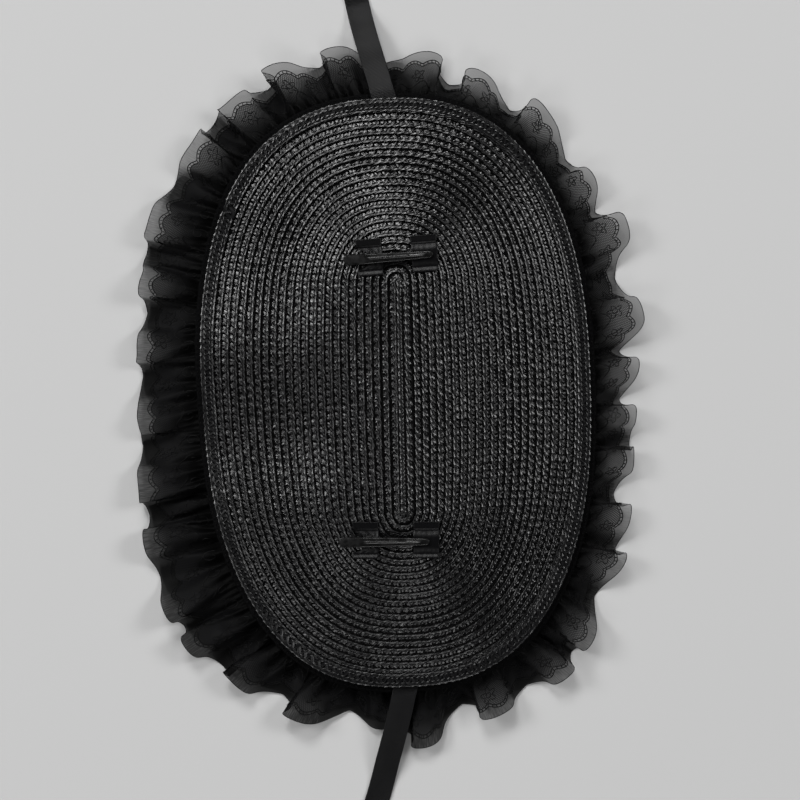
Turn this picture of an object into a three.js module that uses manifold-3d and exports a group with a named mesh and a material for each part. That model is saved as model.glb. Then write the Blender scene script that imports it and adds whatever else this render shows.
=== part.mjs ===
// A flat oval straw bonnet with a gathered lace ruffle, two chin ties and two hair clips, lying inside up.
// Millimetres, +Z up. +X runs across the oval, +Y along it towards the top tie. The lowest point is at z = 0.
import * as THREE from "three";
import { mergeVertices } from "three/addons/utils/BufferGeometryUtils.js";
import Module from "manifold-3d";

const wasm = await Module();
wasm.setup();

const gap = 0.3; // air between pieces that lie on each other

// The rim is a superellipse a little wider towards the top and turned a little to the left.
const rim = { halfWidth: 97.1, halfLength: 146.9, squareness: 2.44, taper: 0.022, turnDeg: 2.5, steps: 96 };
const plate = { underside: 10, thickness: 2.4 }; // sewn rows of braid
const rimBraid = { width: 8, thickness: 3.2 }; // the last turn of braid, sewn double round the edge
// The band that the ruffle is gathered into. A tie lies between it and the plate.
const headingTape = { inside: 6.5, outside: 3, thickness: 1, top: 8.4 };

// How far the plate rises above its flat middle, along its length.
const plateRise = [
  { at: -147, rise: 4.0 },
  { at: -85, rise: 0.7 },
  { at: -18, rise: 0 },
  { at: 18, rise: 0 },
  { at: 72, rise: 0.9 },
  { at: 147, rise: 3.6 },
];

// One row for each fold of the ruffle, counterclockwise round the rim from the top tie.
// at: where its back is, along the rim. reach: how far its back stands out from the rim.
// hollow: how far the dip after it stands out. crest: the height of its back above the floor.
const folds = [
  { at: 16, reach: 29, hollow: 20.5, crest: 6 },
  { at: 38, reach: 30, hollow: 21.5, crest: 12 },
  { at: 60, reach: 29, hollow: 27, crest: 11 },
  { at: 88, reach: 29.5, hollow: 28.5, crest: 13 },
  { at: 118, reach: 34.5, hollow: 31, crest: 12 },
  { at: 148, reach: 32.5, hollow: 27.5, crest: 14 },
  { at: 170, reach: 32.5, hollow: 30, crest: 11 },
  { at: 206, reach: 33, hollow: 31.5, crest: 10 },
  { at: 237, reach: 37, hollow: 34, crest: 12 },
  { at: 268, reach: 39, hollow: 37.5, crest: 12 },
  { at: 290, reach: 40.5, hollow: 36, crest: 14 },
  { at: 312, reach: 39, hollow: 31.5, crest: 12 },
  { at: 333, reach: 32, hollow: 21.5, crest: 11 },
  { at: 360, reach: 28.5, hollow: 15, crest: 12 },
  { at: 388, reach: 23, hollow: 22.5, crest: 5 },
  { at: 408, reach: 32, hollow: 12.5, crest: 8 },
  { at: 441, reach: 24, hollow: 18.5, crest: 13 },
  { at: 463, reach: 28.5, hollow: 23, crest: 12 },
  { at: 485, reach: 27, hollow: 18.5, crest: 14 },
  { at: 513, reach: 25.5, hollow: 20.5, crest: 12 },
  { at: 532, reach: 24, hollow: 14.5, crest: 11 },
  { at: 562, reach: 22.5, hollow: 20, crest: 12 },
  { at: 581, reach: 22, hollow: 15.5, crest: 13 },
  { at: 604, reach: 24.5, hollow: 16, crest: 14 },
  { at: 628, reach: 28.5, hollow: 17.5, crest: 15 },
  { at: 673, reach: 29, hollow: 17, crest: 14 },
  { at: 692, reach: 22, hollow: 15, crest: 11 },
  { at: 727, reach: 23, hollow: 11.5, crest: 13 },
  { at: 757, reach: 20, hollow: 10.5, crest: 12 },
  { at: 785, reach: 24, hollow: 18, crest: 7 },
];
// tuck: how far its heading lies in under the rim. fallsBy: the share of its width by which a dip is down.
const ruffle = { tuck: 6, thickness: 1, hollowHeight: 0.5, fallsBy: 0.9, steps: 270 };
// across: the share of the ruffle's width, from its heading to its free edge.
// fold: the share of the fold's full height that shows there.
const ruffleProfile = [
  { across: 0, fold: 0 },
  { across: 0.24, fold: 0 },
  { across: 0.43, fold: 0.4 },
  { across: 0.62, fold: 0.78 },
  { across: 0.82, fold: 1 },
  { across: 1, fold: 1 },
];

// The middle of each chin tie, from its sewn end under the plate to its free end. z is its underside.
const tie = { width: 12, thickness: 1 };
const topTie = [
  { x: 1.2, y: 139, z: 12.05 },
  { x: -1.8, y: 149, z: 12.3 },
  { x: -3.7, y: 155, z: 12.3 },
  { x: -5.3, y: 161, z: 11 },
  { x: -7.4, y: 168, z: 9.3 },
  { x: -9.9, y: 176, z: 8 },
  { x: -12.2, y: 184, z: 5.6 },
  { x: -14.3, y: 192, z: 2 },
  { x: -15.8, y: 198.5, z: 0.1 },
];
const bottomTie = [
  { x: 11.2, y: -131, z: 12.3 },
  { x: 8.4, y: -143, z: 12.7 },
  { x: 7.3, y: -148, z: 12.7 },
  { x: 6.1, y: -154, z: 11.2 },
  { x: 4.4, y: -161.5, z: 9 },
  { x: 2, y: -171, z: 6.8 },
  { x: -0.6, y: -181, z: 3.8 },
  { x: -2.8, y: -190, z: 1 },
  { x: -5.1, y: -198.4, z: 0.1 },
];

// A hair clip in its own frame: x from the pivot towards the jaws' tips, z up from the plate.
const clip = {
  pinHeight: 2.7,
  pinRadius: 0.4,
  pinLength: 5.6,
  holeRadius: 0.7,
  holeSides: 16,
  sheet: 0.6, // steel sheet
  ear: { length: 2.6, height: 3.85, inner: 1.25, thickness: 0.4 }, // stands up from the base blade
  cheek: { length: 3.4, low: 1.8, inner: 1.95, thickness: 0.5 }, // hangs down from the jaw, outside the ears
  spring: { inner: 0.7, outer: 1.1, length: 1.9 },
};
// The base blade, flat on the plate, from its finger end to its tip.
const baseBlade = [
  { x: -9.2, half: 2.3 },
  { x: 2, half: 2.3 },
  { x: 34, half: 1.6 },
  { x: 35.4, half: 1 },
];
// The upper side of the sprung jaw, from the end of its finger lever over the pivot to its tip.
const sprungJaw = [
  { x: -9, half: 2.6, top: 7.2 },
  { x: -1.8, half: 2.6, top: 5.5 },
  { x: 1.4, half: 2.55, top: 4.9 },
  { x: 12, half: 2.35, top: 4.2 },
  { x: 24, half: 2.05, top: 3.3 },
  { x: 34, half: 1.6, top: 3.15 },
  { x: 35.4, half: 1, top: 3.15 },
];
// The ribbon tabs lie across the base blade. z is a tab's underside above the plate, and draw is the share
// of its full draw by which its side is pulled in there, because the tab at the pivot is gathered beside it.
const tab = { width: 13.2, thickness: 1 };
const tabRun = [
  { y: 10, z: 0.3, draw: 0 },
  { y: 6.3, z: 0.3, draw: 0 },
  { y: 3, z: 1.25, draw: 1 },
  { y: -3, z: 1.25, draw: 1 },
  { y: -6.2, z: 0.3, draw: 0 },
  { y: -8.4, z: 0.3, draw: 0 },
];
const pivotTabDraw = 5.3; // how far the pivot tab's side is drawn in beside the pivot
const clips = [
  { name: "top_clip", x: -13.3, y: 70.2, turnDeg: 4.4, pivotTab: -3, tipTab: 24.6 },
  { name: "bottom_clip", x: -15.3, y: -71, turnDeg: 0.4, pivotTab: -3, tipTab: 27.4 },
];

const straw = { color: 0x1b1b1d, roughness: 0.42, metalness: 0 };
const lace = { color: 0x101012, roughness: 0.8, metalness: 0 };
const ribbon = { color: 0x19191b, roughness: 0.6, metalness: 0 };
const steel = { color: 0x141415, roughness: 0.45, metalness: 0.3 };

// A closed body through a row of sections, which are rings of points with the same count, each one
// running clockwise as seen from the section before it. A round body joins its last section to its first.
function loft(sections, round) {
  const across = sections[0].length;
  const corners = sections.flat().flatMap((p) => [p.x, p.y, p.z]);
  const faces = [];
  const spans = round ? sections.length : sections.length - 1;
  for (let i = 0; i < spans; i++) {
    const here = i * across;
    const next = ((i + 1) % sections.length) * across;
    for (let j = 0; j < across; j++) {
      const k = (j + 1) % across;
      faces.push(here + j, here + k, next + k, here + j, next + k, next + j);
    }
  }
  if (!round) {
    const last = (sections.length - 1) * across;
    for (let j = 1; j < across - 1; j++) {
      faces.push(0, j + 1, j, last, last + j, last + j + 1);
    }
  }
  const geometry = new THREE.BufferGeometry();
  geometry.setAttribute("position", new THREE.Float32BufferAttribute(corners, 3));
  geometry.setIndex(faces);
  geometry.computeVertexNormals();
  return geometry;
}

function solidOf(geometry) {
  const bare = geometry.clone();
  bare.deleteAttribute("normal");
  bare.deleteAttribute("uv");
  const merged = mergeVertices(bare);
  const vertProperties = merged.attributes.position.array;
  const triVerts = new Uint32Array(merged.index.array);
  return new wasm.Manifold(new wasm.Mesh({ numProp: 3, vertProperties, triVerts }));
}

function joined(geometries) {
  const [first, ...others] = geometries.map(solidOf);
  const mesh = others.reduce((sum, solid) => sum.add(solid), first).getMesh();
  const geometry = new THREE.BufferGeometry();
  geometry.setAttribute("position", new THREE.Float32BufferAttribute(mesh.vertProperties, 3));
  geometry.setIndex([...mesh.triVerts]);
  geometry.computeVertexNormals();
  return geometry;
}

function piece(name, geometry, finish) {
  const mesh = new THREE.Mesh(geometry, new THREE.MeshStandardMaterial(finish));
  mesh.name = name;
  return mesh;
}

// The value of a column between a table's rows, eased from row to row.
function eased(rows, key, column, at) {
  const next = rows.findIndex((row) => row[key] > at);
  if (next === 0) return rows[0][column];
  if (next < 0) return rows[rows.length - 1][column];
  const a = rows[next - 1];
  const b = rows[next];
  const share = THREE.MathUtils.smoothstep(at, a[key], b[key]);
  return THREE.MathUtils.lerp(a[column], b[column], share);
}

// A point of the oval that lies inset inside the rim, at an angle from +X, in the plate's own axes.
function ovalPoint(angle, inset) {
  const power = 2 / rim.squareness;
  const c = Math.cos(angle);
  const s = Math.sin(angle);
  const along = Math.sign(s) * Math.abs(s) ** power;
  const across = Math.sign(c) * Math.abs(c) ** power * (1 + rim.taper * along);
  return new THREE.Vector2((rim.halfWidth - inset) * across, (rim.halfLength - inset) * along);
}

// The oval's point in the part's axes, at the given height above the plate's own curve.
function placed(angle, inset, height) {
  const p = ovalPoint(angle, inset);
  const rise = eased(plateRise, "at", "rise", p.y);
  p.rotateAround(new THREE.Vector2(), THREE.MathUtils.degToRad(rim.turnDeg));
  return new THREE.Vector3(p.x, p.y, height + rise);
}

// A flat band round the plate, between two insets from the rim.
function ovalBand(outer, inner, bottom, top) {
  const sections = [];
  for (let i = 0; i < rim.steps; i++) {
    const angle = (i / rim.steps) * 2 * Math.PI;
    sections.push([
      placed(angle, inner, bottom),
      placed(angle, inner, top),
      placed(angle, outer, top),
      placed(angle, outer, bottom),
    ]);
  }
  return loft(sections, true);
}

function strawPlate() {
  const inset = rimBraid.width + gap;
  const top = plate.underside + plate.thickness;
  const sections = [];
  for (let i = 1; i < rim.steps / 2; i++) {
    const right = -Math.PI / 2 + (i / rim.steps) * 2 * Math.PI;
    const left = Math.PI - right;
    sections.push([
      placed(left, inset, plate.underside),
      placed(left, inset, top),
      placed(right, inset, top),
      placed(right, inset, plate.underside),
    ]);
  }
  return loft(sections, false);
}

// Evenly spaced places along the rim, counterclockwise from the top tie.
function rimPlaces(count) {
  const fine = 4000;
  const start = Math.PI / 2;
  const run = [];
  let along = 0;
  let before = placed(start, 0, 0);
  for (let i = 0; i <= fine; i++) {
    const angle = start + (i / fine) * 2 * Math.PI;
    const point = placed(angle, 0, 0);
    along += Math.hypot(point.x - before.x, point.y - before.y);
    run.push({ along, point });
    before = point;
  }
  const places = [];
  let near = 0;
  for (let i = 0; i < count; i++) {
    const wanted = (i / count) * along;
    while (run[near].along < wanted) near++;
    const ahead = run[(near + 20) % fine].point;
    const behind = run[(near - 20 + fine) % fine].point;
    const outward = new THREE.Vector2(ahead.y - behind.y, behind.x - ahead.x).normalize();
    places.push({ along: wanted, point: run[near].point, outward });
  }
  return { places, length: along };
}

// The reach and height of the ruffle's free edge at a place along the rim.
function edgeAt(along, length) {
  const after = Math.max(folds.findIndex((fold) => fold.at > along), 0);
  const b = folds[after];
  const a = folds[(after + folds.length - 1) % folds.length];
  const span = (b.at - a.at + length) % length;
  const share = ((along - a.at + length) % length) / span;
  const lift = (1 + Math.cos(2 * Math.PI * share)) / 2;
  const side = share < 0.5 ? a : b;
  return {
    reach: THREE.MathUtils.lerp(a.hollow, side.reach, lift),
    height: THREE.MathUtils.lerp(ruffle.hollowHeight, side.crest, lift),
  };
}

function laceRuffle() {
  const { places, length } = rimPlaces(ruffle.steps);
  const head = headingTape.top - headingTape.thickness - 2 * gap - ruffle.thickness / 2;
  const middle = places.map(({ along, point, outward }) => {
    const edge = edgeAt(along, length);
    return ruffleProfile.map(({ across, fold }) => {
      const out = THREE.MathUtils.lerp(-ruffle.tuck, edge.reach, across);
      const fall = THREE.MathUtils.smoothstep(across, 0, ruffle.fallsBy);
      const falling = THREE.MathUtils.lerp(head + point.z, ruffle.hollowHeight, fall);
      const z = THREE.MathUtils.lerp(falling, edge.height, fold);
      return new THREE.Vector3(point.x + outward.x * out, point.y + outward.y * out, z);
    });
  });
  const sections = middle.map((row, i) => {
    const before = middle[(i - 1 + middle.length) % middle.length];
    const after = middle[(i + 1) % middle.length];
    const normals = row.map((_, j) => {
      const inner = row[Math.max(j - 1, 0)];
      const outer = row[Math.min(j + 1, row.length - 1)];
      const round = after[j].clone().sub(before[j]);
      return outer.clone().sub(inner).cross(round).normalize();
    });
    const half = ruffle.thickness / 2;
    const upper = row.map((p, j) => p.clone().addScaledVector(normals[j], half));
    const lower = row.map((p, j) => p.clone().addScaledVector(normals[j], -half));
    return [...upper, ...lower.reverse()];
  });
  return loft(sections, true);
}

// A flat ribbon along a table of places.
function flatRibbon(run) {
  const points = run.map(({ x, y, z }) => new THREE.Vector3(x, y, z));
  const sections = points.map((p, i) => {
    const ahead = points[Math.min(i + 1, points.length - 1)];
    const behind = points[Math.max(i - 1, 0)];
    const forward = ahead.clone().sub(behind).normalize();
    const side = new THREE.Vector3(forward.y, -forward.x, 0).normalize();
    const up = side.clone().cross(forward);
    const corner = (across, height) =>
      p.clone().addScaledVector(side, (across * tie.width) / 2).addScaledVector(up, height * tie.thickness);
    return [corner(-1, 0), corner(-1, 1), corner(1, 1), corner(1, 0)];
  });
  return loft(sections, false);
}

// A strip of sheet steel along x, as wide as its rows say, whose upper side is at each row's top.
function steelStrip(rows) {
  const sections = rows.map(({ x, half, top }) => [
    new THREE.Vector3(x, half, top - clip.sheet),
    new THREE.Vector3(x, half, top),
    new THREE.Vector3(x, -half, top),
    new THREE.Vector3(x, -half, top - clip.sheet),
  ]);
  return loft(sections, false);
}

// An upright plate beside the pivot with a hole for the pin.
function pierced(length, low, high, inner, thickness, side) {
  const outline = new THREE.Shape();
  outline.moveTo(-length / 2, low);
  outline.lineTo(length / 2, low);
  outline.lineTo(length / 2, high);
  outline.lineTo(-length / 2, high);
  outline.closePath();
  const hole = [];
  for (let i = 0; i < clip.holeSides; i++) {
    const angle = (-i / clip.holeSides) * 2 * Math.PI;
    hole.push(new THREE.Vector2(clip.holeRadius, 0).rotateAround(new THREE.Vector2(), angle));
    hole[i].y += clip.pinHeight;
  }
  outline.holes.push(new THREE.Path(hole));
  const geometry = new THREE.ExtrudeGeometry(outline, { depth: thickness, bevelEnabled: false });
  geometry.rotateX(Math.PI / 2);
  geometry.translate(0, side > 0 ? inner + thickness : -inner, 0);
  return geometry;
}

function clipBase() {
  const { length, height, inner, thickness } = clip.ear;
  const top = gap + clip.sheet;
  const blade = steelStrip(baseBlade.map((row) => ({ ...row, top })));
  const low = gap + clip.sheet / 2;
  return joined([
    blade,
    pierced(length, low, height, inner, thickness, 1),
    pierced(length, low, height, inner, thickness, -1),
  ]);
}

function clipJaw() {
  const { length, low, inner, thickness } = clip.cheek;
  const high = sprungJaw[2].top - clip.sheet / 2;
  return joined([
    steelStrip(sprungJaw),
    pierced(length, low, high, inner, thickness, 1),
    pierced(length, low, high, inner, thickness, -1),
  ]);
}

function clipPin() {
  const geometry = new THREE.CylinderGeometry(clip.pinRadius, clip.pinRadius, clip.pinLength, 12);
  geometry.translate(0, 0, clip.pinHeight);
  return geometry;
}

function clipSpring() {
  const { inner, outer, length } = clip.spring;
  const profile = [
    new THREE.Vector2(inner, -length / 2),
    new THREE.Vector2(outer, -length / 2),
    new THREE.Vector2(outer, length / 2),
    new THREE.Vector2(inner, length / 2),
    new THREE.Vector2(inner, -length / 2),
  ];
  const geometry = new THREE.LatheGeometry(profile, 14);
  geometry.translate(0, 0, clip.pinHeight);
  return geometry;
}

function clipTab(start, draw) {
  const sections = tabRun.map((row) => {
    const left = start + draw * row.draw;
    const right = start + tab.width;
    return [
      new THREE.Vector3(right, row.y, row.z),
      new THREE.Vector3(right, row.y, row.z + tab.thickness),
      new THREE.Vector3(left, row.y, row.z + tab.thickness),
      new THREE.Vector3(left, row.y, row.z),
    ];
  });
  return loft(sections, false);
}

function hairClip({ name, x, y, turnDeg, pivotTab, tipTab }) {
  const group = new THREE.Group();
  const rise = eased(plateRise, "at", "rise", y);
  group.position.set(x, y, plate.underside + plate.thickness + rise);
  group.rotation.z = THREE.MathUtils.degToRad(turnDeg);
  group.add(
    piece(name + "_base_blade", clipBase(), steel),
    piece(name + "_sprung_jaw", clipJaw(), steel),
    piece(name + "_pin", clipPin(), steel),
    piece(name + "_spring", clipSpring(), steel),
    piece(name + "_pivot_tab", clipTab(pivotTab, pivotTabDraw), ribbon),
    piece(name + "_tip_tab", clipTab(tipTab, 0), ribbon),
  );
  return group;
}

const bonnet = new THREE.Group();
const rimTop = plate.underside + rimBraid.thickness;
const { inside, outside, thickness, top } = headingTape;
const oval = new THREE.Group(); // what is sewn round the oval, whose middle is a little off the part's own
oval.add(
  piece("straw_plate", strawPlate(), straw),
  piece("rim_braid", ovalBand(0, rimBraid.width, plate.underside, rimTop), straw),
  piece("ruffle_heading", ovalBand(-outside, inside, top - thickness, top), ribbon),
  piece("lace_ruffle", laceRuffle(), lace),
);
oval.position.set(3.7, 3.8, 0);
bonnet.add(oval);
bonnet.add(piece("top_tie", flatRibbon(topTie), ribbon));
bonnet.add(piece("bottom_tie", flatRibbon(bottomTie), ribbon));
clips.forEach((spec) => bonnet.add(hairClip(spec)));

// The origin is under the middle of the whole piece, at the height of its lowest fold.
const extent = new THREE.Box3().setFromObject(bonnet, true);
const middle = extent.getCenter(new THREE.Vector3());
bonnet.position.set(-middle.x, -middle.y, -extent.min.z);

export default bonnet;
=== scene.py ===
# A flat oval bonnet of black sewn braid with a lace ruffle, chin ties and hair clips, lying inside up.
import math

import bpy
import numpy as np
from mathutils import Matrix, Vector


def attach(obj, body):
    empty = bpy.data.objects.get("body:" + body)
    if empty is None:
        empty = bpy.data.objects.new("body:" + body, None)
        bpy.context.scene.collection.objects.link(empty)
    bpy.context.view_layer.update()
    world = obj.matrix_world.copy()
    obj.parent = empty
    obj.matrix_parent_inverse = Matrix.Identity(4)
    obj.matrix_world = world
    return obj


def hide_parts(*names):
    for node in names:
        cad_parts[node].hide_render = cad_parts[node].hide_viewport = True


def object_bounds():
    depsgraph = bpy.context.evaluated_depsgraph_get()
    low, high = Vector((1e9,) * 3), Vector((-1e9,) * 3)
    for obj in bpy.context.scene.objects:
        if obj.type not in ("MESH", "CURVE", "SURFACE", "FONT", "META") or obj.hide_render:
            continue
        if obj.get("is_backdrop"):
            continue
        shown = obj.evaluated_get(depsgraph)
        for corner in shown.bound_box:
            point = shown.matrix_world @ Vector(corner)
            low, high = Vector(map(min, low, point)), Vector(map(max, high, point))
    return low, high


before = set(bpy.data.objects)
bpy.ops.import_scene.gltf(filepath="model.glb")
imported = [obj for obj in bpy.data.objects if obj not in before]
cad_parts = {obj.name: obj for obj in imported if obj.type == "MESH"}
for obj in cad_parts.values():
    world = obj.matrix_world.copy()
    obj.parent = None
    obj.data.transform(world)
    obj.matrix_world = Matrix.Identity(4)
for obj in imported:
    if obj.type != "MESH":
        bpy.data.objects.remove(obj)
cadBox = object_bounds()
mm = 0.001
skyward = np.array([0.0, 0.0, 1.0])
print("frame loaded:", len(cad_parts), "nodes")


# Helpers

def linear(hexColour):
    # an sRGB hex colour as the linear colour that a shader takes
    parts = [int(hexColour[i:i + 2], 16) / 255 for i in (1, 3, 5)]
    return [p / 12.92 if p <= 0.04045 else ((p + 0.055) / 1.055) ** 2.4 for p in parts] + [1]


def addNode(tree, kind, settings=None, inputs=None):
    # a shader node; an input that is given as another node takes that node's first output
    node = tree.nodes.new("ShaderNode" + kind)
    for name, value in (settings or {}).items():
        setattr(node, name, value)
    for name, value in (inputs or {}).items():
        if isinstance(value, bpy.types.Node):
            value = value.outputs[0]
        if isinstance(value, bpy.types.NodeSocket):
            tree.links.new(value, node.inputs[name])
        else:
            node.inputs[name].default_value = value
    return node


def startMaterial(name):
    # an empty material and its node tree
    material = bpy.data.materials.new(name)
    material.use_nodes = True
    material.node_tree.nodes.clear()
    return material, material.node_tree


def grainedMaterial(name, look):
    # A finish whose one grain gives its bump and, where they're set, its paler places and its polish. The
    # grain is fibres, of a length along the piece and a spacing across it, or round grains, all in
    # millimetres. Fibres that are too fine to show are drawn coarser.
    material, tree = startMaterial(name)
    shader = dict(look["shader"])
    if "fibres" in look:
        size = addNode(tree, "UVMap", {"uv_map": "size"})
        stretched = addNode(tree, "VectorMath", {"operation": "MULTIPLY"}, {
            0: size, 1: (1 / look["fibres"][0], 1 / look["fibres"][1], 1.0)})
        grain = addNode(tree, "TexNoise", {"noise_dimensions": "2D"}, {
            "Vector": stretched, "Scale": 1.0, "Detail": 2.0})
    else:
        place = addNode(tree, "TexCoord")
        grain = addNode(tree, "TexNoise", inputs={
            "Vector": place.outputs["Object"], "Scale": 1 / (look["grains"] * mm), "Detail": 2.0})
    if "paler" in look:
        tone = addNode(tree, "Mix", {"data_type": "RGBA"}, {
            "Factor": grain, 6: linear(look["colour"]), 7: linear(look["paler"])})
        shader["Base Color"] = tone.outputs[2]
    else:
        shader["Base Color"] = linear(look["colour"])
    if "polish" in look:
        shader["Roughness"] = addNode(tree, "MapRange", inputs={
            "Value": grain, "From Min": 0.3, "From Max": 0.7,
            "To Min": look["polish"][0], "To Max": look["polish"][1]})
    strength, height = look["bump"]
    shader["Normal"] = addNode(tree, "Bump", inputs={
        "Strength": strength, "Distance": height * mm, "Height": grain})
    surface = addNode(tree, "BsdfPrincipled", inputs=shader)
    addNode(tree, "OutputMaterial", inputs={"Surface": surface})
    return material


def blendBetween(low, high, share):
    return low + (high - low) * share


def smoothShare(value, low, high):
    share = np.clip((value - low) / (high - low), 0, 1)
    return share * share * (3 - 2 * share)


def roundAngles(count):
    return np.linspace(0, 2 * math.pi, count, endpoint=False)


def easedColumn(rows, column, at):
    # a table's column, eased from row to row; the first column is the place
    places = np.array([row[0] for row in rows], float)
    values = np.array([row[column] for row in rows], float)
    at = np.clip(at, places[0], places[-1])
    after = np.clip(np.searchsorted(places, at, side="right"), 1, len(places) - 1)
    share = smoothShare(at, places[after - 1], places[after])
    return blendBetween(values[after - 1], values[after], share)


def unit(vectors):
    return vectors / np.maximum(np.linalg.norm(vectors, axis=-1, keepdims=True), 1e-9)


def wander(random, count, every):
    # smooth noise from -1 to 1, with a new value every so many samples
    knots = random.uniform(-1, 1, int(count / every) + 3)
    return np.interp(np.arange(count) / every, np.arange(len(knots)), knots)


def smoothRun(rows, count):
    # evenly spaced points on a smooth curve through a table of places
    points = np.array(rows, float)
    chord = np.concatenate([[0], np.cumsum(np.linalg.norm(np.diff(points, axis=0), axis=1))])
    slope = np.gradient(points, chord, axis=0)
    at = np.linspace(0, chord[-1], count)
    i = np.clip(np.searchsorted(chord, at, side="right") - 1, 0, len(chord) - 2)
    span = (chord[i + 1] - chord[i])[:, None]
    t = ((at - chord[i])[:, None]) / span
    a, b = points[i], points[i + 1]
    return ((2 * t**3 - 3 * t**2 + 1) * a + (t**3 - 2 * t**2 + t) * span * slope[i]
            + (3 * t**2 - 2 * t**3) * b + (t**3 - t**2) * span * slope[i + 1])


def meshPiece(name, points, faces, uvPlaces, material, smooth=True):
    # a mesh of points in millimetres, with a place in its UV map for each corner of each face
    mesh = bpy.data.meshes.new(name)
    mesh.from_pydata((points * mm).tolist(), [], faces)
    mesh.polygons.foreach_set("use_smooth", np.full(len(mesh.polygons), smooth))
    uvMap = mesh.uv_layers.new(name="size")
    uvMap.data.foreach_set("uv", uvPlaces.astype(np.float32).ravel())
    mesh.materials.append(material)
    mesh.update()
    piece = bpy.data.objects.new(name, mesh)
    bpy.context.scene.collection.objects.link(piece)
    return piece


def sweptPiece(name, rings, material, closedAcross=True, joinedEnds=False, along=None, across=None,
               ridged=False):
    # A mesh through rings of points in millimetres, of shape (rings, points, 3). Its UV map holds each
    # point's distance along and across the piece. A ridged piece has firm edges along its length.
    count, size = rings.shape[:2]
    spans = count if joinedEnds else count - 1
    sides = size if closedAcross else size - 1
    i, j = np.meshgrid(np.arange(spans), np.arange(sides), indexing="ij")
    nextRing = (i + 1) % count
    nextPoint = (j + 1) % size
    quads = np.stack([
        i * size + j, i * size + nextPoint, nextRing * size + nextPoint, nextRing * size + j], -1)
    if along is None:
        along = np.arange(count + 1, dtype=float)
    if across is None:
        across = np.arange(size + 1, dtype=float)
    u = np.stack([along[i], along[i], along[i + 1], along[i + 1]], -1)
    v = np.stack([across[j], across[j + 1], across[j + 1], across[j]], -1)
    quads, u, v = quads.reshape(-1, 4), u.reshape(-1), v.reshape(-1)
    faces = quads.tolist()
    points = rings.reshape(-1, 3)
    if closedAcross and not joinedEnds:  # a face closes each end
        faces.append(list(range(size))[::-1])
        faces.append(list(range((count - 1) * size, count * size)))
        u = np.concatenate([u, np.full(size, along[0]), np.full(size, along[count - 1])])
        v = np.concatenate([v, across[:size][::-1], across[:size]])
    if closedAcross:
        corners = points[quads]
        volume = np.einsum("ij,ij->i", corners[:, 0], np.cross(corners[:, 1], corners[:, 2])).sum()
        volume += np.einsum("ij,ij->i", corners[:, 0], np.cross(corners[:, 2], corners[:, 3])).sum()
        if volume < 0:  # the rings run the other way round, so the faces are turned
            faces = [face[::-1] for face in faces]
            ends = np.cumsum([len(face) for face in faces])
            order = np.concatenate([np.arange(end - 1, end - len(face) - 1, -1)
                                    for end, face in zip(ends, faces)])
            u, v = u[order], v[order]
    piece = meshPiece(name, points, faces, np.stack([u, v], -1), material)
    if ridged:
        edges = piece.data.edges
        ends = np.empty(len(edges) * 2, np.int32)
        edges.foreach_get("vertices", ends)
        lengthwise = (ends[0::2] - ends[1::2]) % size == 0
        piece.data.attributes.new("sharp_edge", "BOOLEAN", "EDGE").data.foreach_set("value", lengthwise)
        piece.data.update()
    return piece


def joinPieces(name, pieces):
    # several meshes as one piece
    with bpy.context.temp_override(active_object=pieces[0], selected_editable_objects=pieces):
        bpy.ops.object.join()
    pieces[0].name = name
    pieces[0].data.name = name
    return pieces[0]


def manySmall(name, middles, forward, up, length, width, height, material, outward=0.5, faceted=False):
    # One small lozenge at each middle, in millimetres, pointed at both ends along forward. The outward
    # share of its width lies to the right of forward, seen from above.
    side = unit(np.cross(up, forward))
    upward = unit(np.cross(forward, side))
    length, width, height = (np.reshape(value, (-1, 1)) for value in (length, width, height))
    corners = np.stack([
        middles - forward * length / 2, middles + side * width * (1 - outward),
        middles + upward * height / 2, middles - side * width * outward,
        middles - upward * height / 2, middles + forward * length / 2], 1)
    facets = np.array([
        (0, 2, 1), (0, 3, 2), (0, 4, 3), (0, 1, 4), (5, 1, 2), (5, 2, 3), (5, 3, 4), (5, 4, 1)])
    faces = (np.arange(len(middles))[:, None, None] * 6 + facets[None]).reshape(-1, 3)
    uvPlaces = np.tile(np.array([[0.0, 0.0], [0.5, 0.5], [0.5, 0.0]]), (len(faces), 1))
    return meshPiece(name, corners.reshape(-1, 3), faces.tolist(), uvPlaces, material, not faceted)


# Camera, light and floor

studio = {
    "cameraMiddle": (0.005145, -0.000016),  # the photograph looks straight down here
    "lookedAtHeight": 0.0125,
    "distance": 1.7,
    "seenWidth": 0.4,  # across the picture, at that distance
    "sensor": 36,
    "world": "#2c2c2c",
    "worldStrength": 1.0,
    "floorColour": "#b2b2b2",
    "floorHalf": 4,
    "floorLevel": -0.0002,
}
panels = [
    {"name": "panelTop", "at": (-0.9, 3.4, 3.9), "size": 1.7, "watts": 170},
    {"name": "panelLeft", "at": (-3.2, 1.3, 3.0), "size": 1.5, "watts": 112},
    {"name": "panelRight", "at": (3.2, 1.2, 2.9), "size": 1.4, "watts": 84},
    {"name": "panelLow", "at": (0.7, -3.5, 3.2), "size": 1.4, "watts": 40},
    {"name": "panelLowLeft", "at": (-2.6, -2.4, 3.2), "size": 1.4, "watts": 38},
]

cameraData = bpy.data.cameras.new("camera")
cameraData.sensor_width = studio["sensor"]
cameraData.lens = studio["sensor"] * studio["distance"] / studio["seenWidth"]
camera = bpy.data.objects.new("camera", cameraData)
camera.location = (*studio["cameraMiddle"], studio["lookedAtHeight"] + studio["distance"])
bpy.context.scene.collection.objects.link(camera)
bpy.context.scene.camera = camera
bpy.context.scene.view_settings.view_transform = "Standard"

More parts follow.
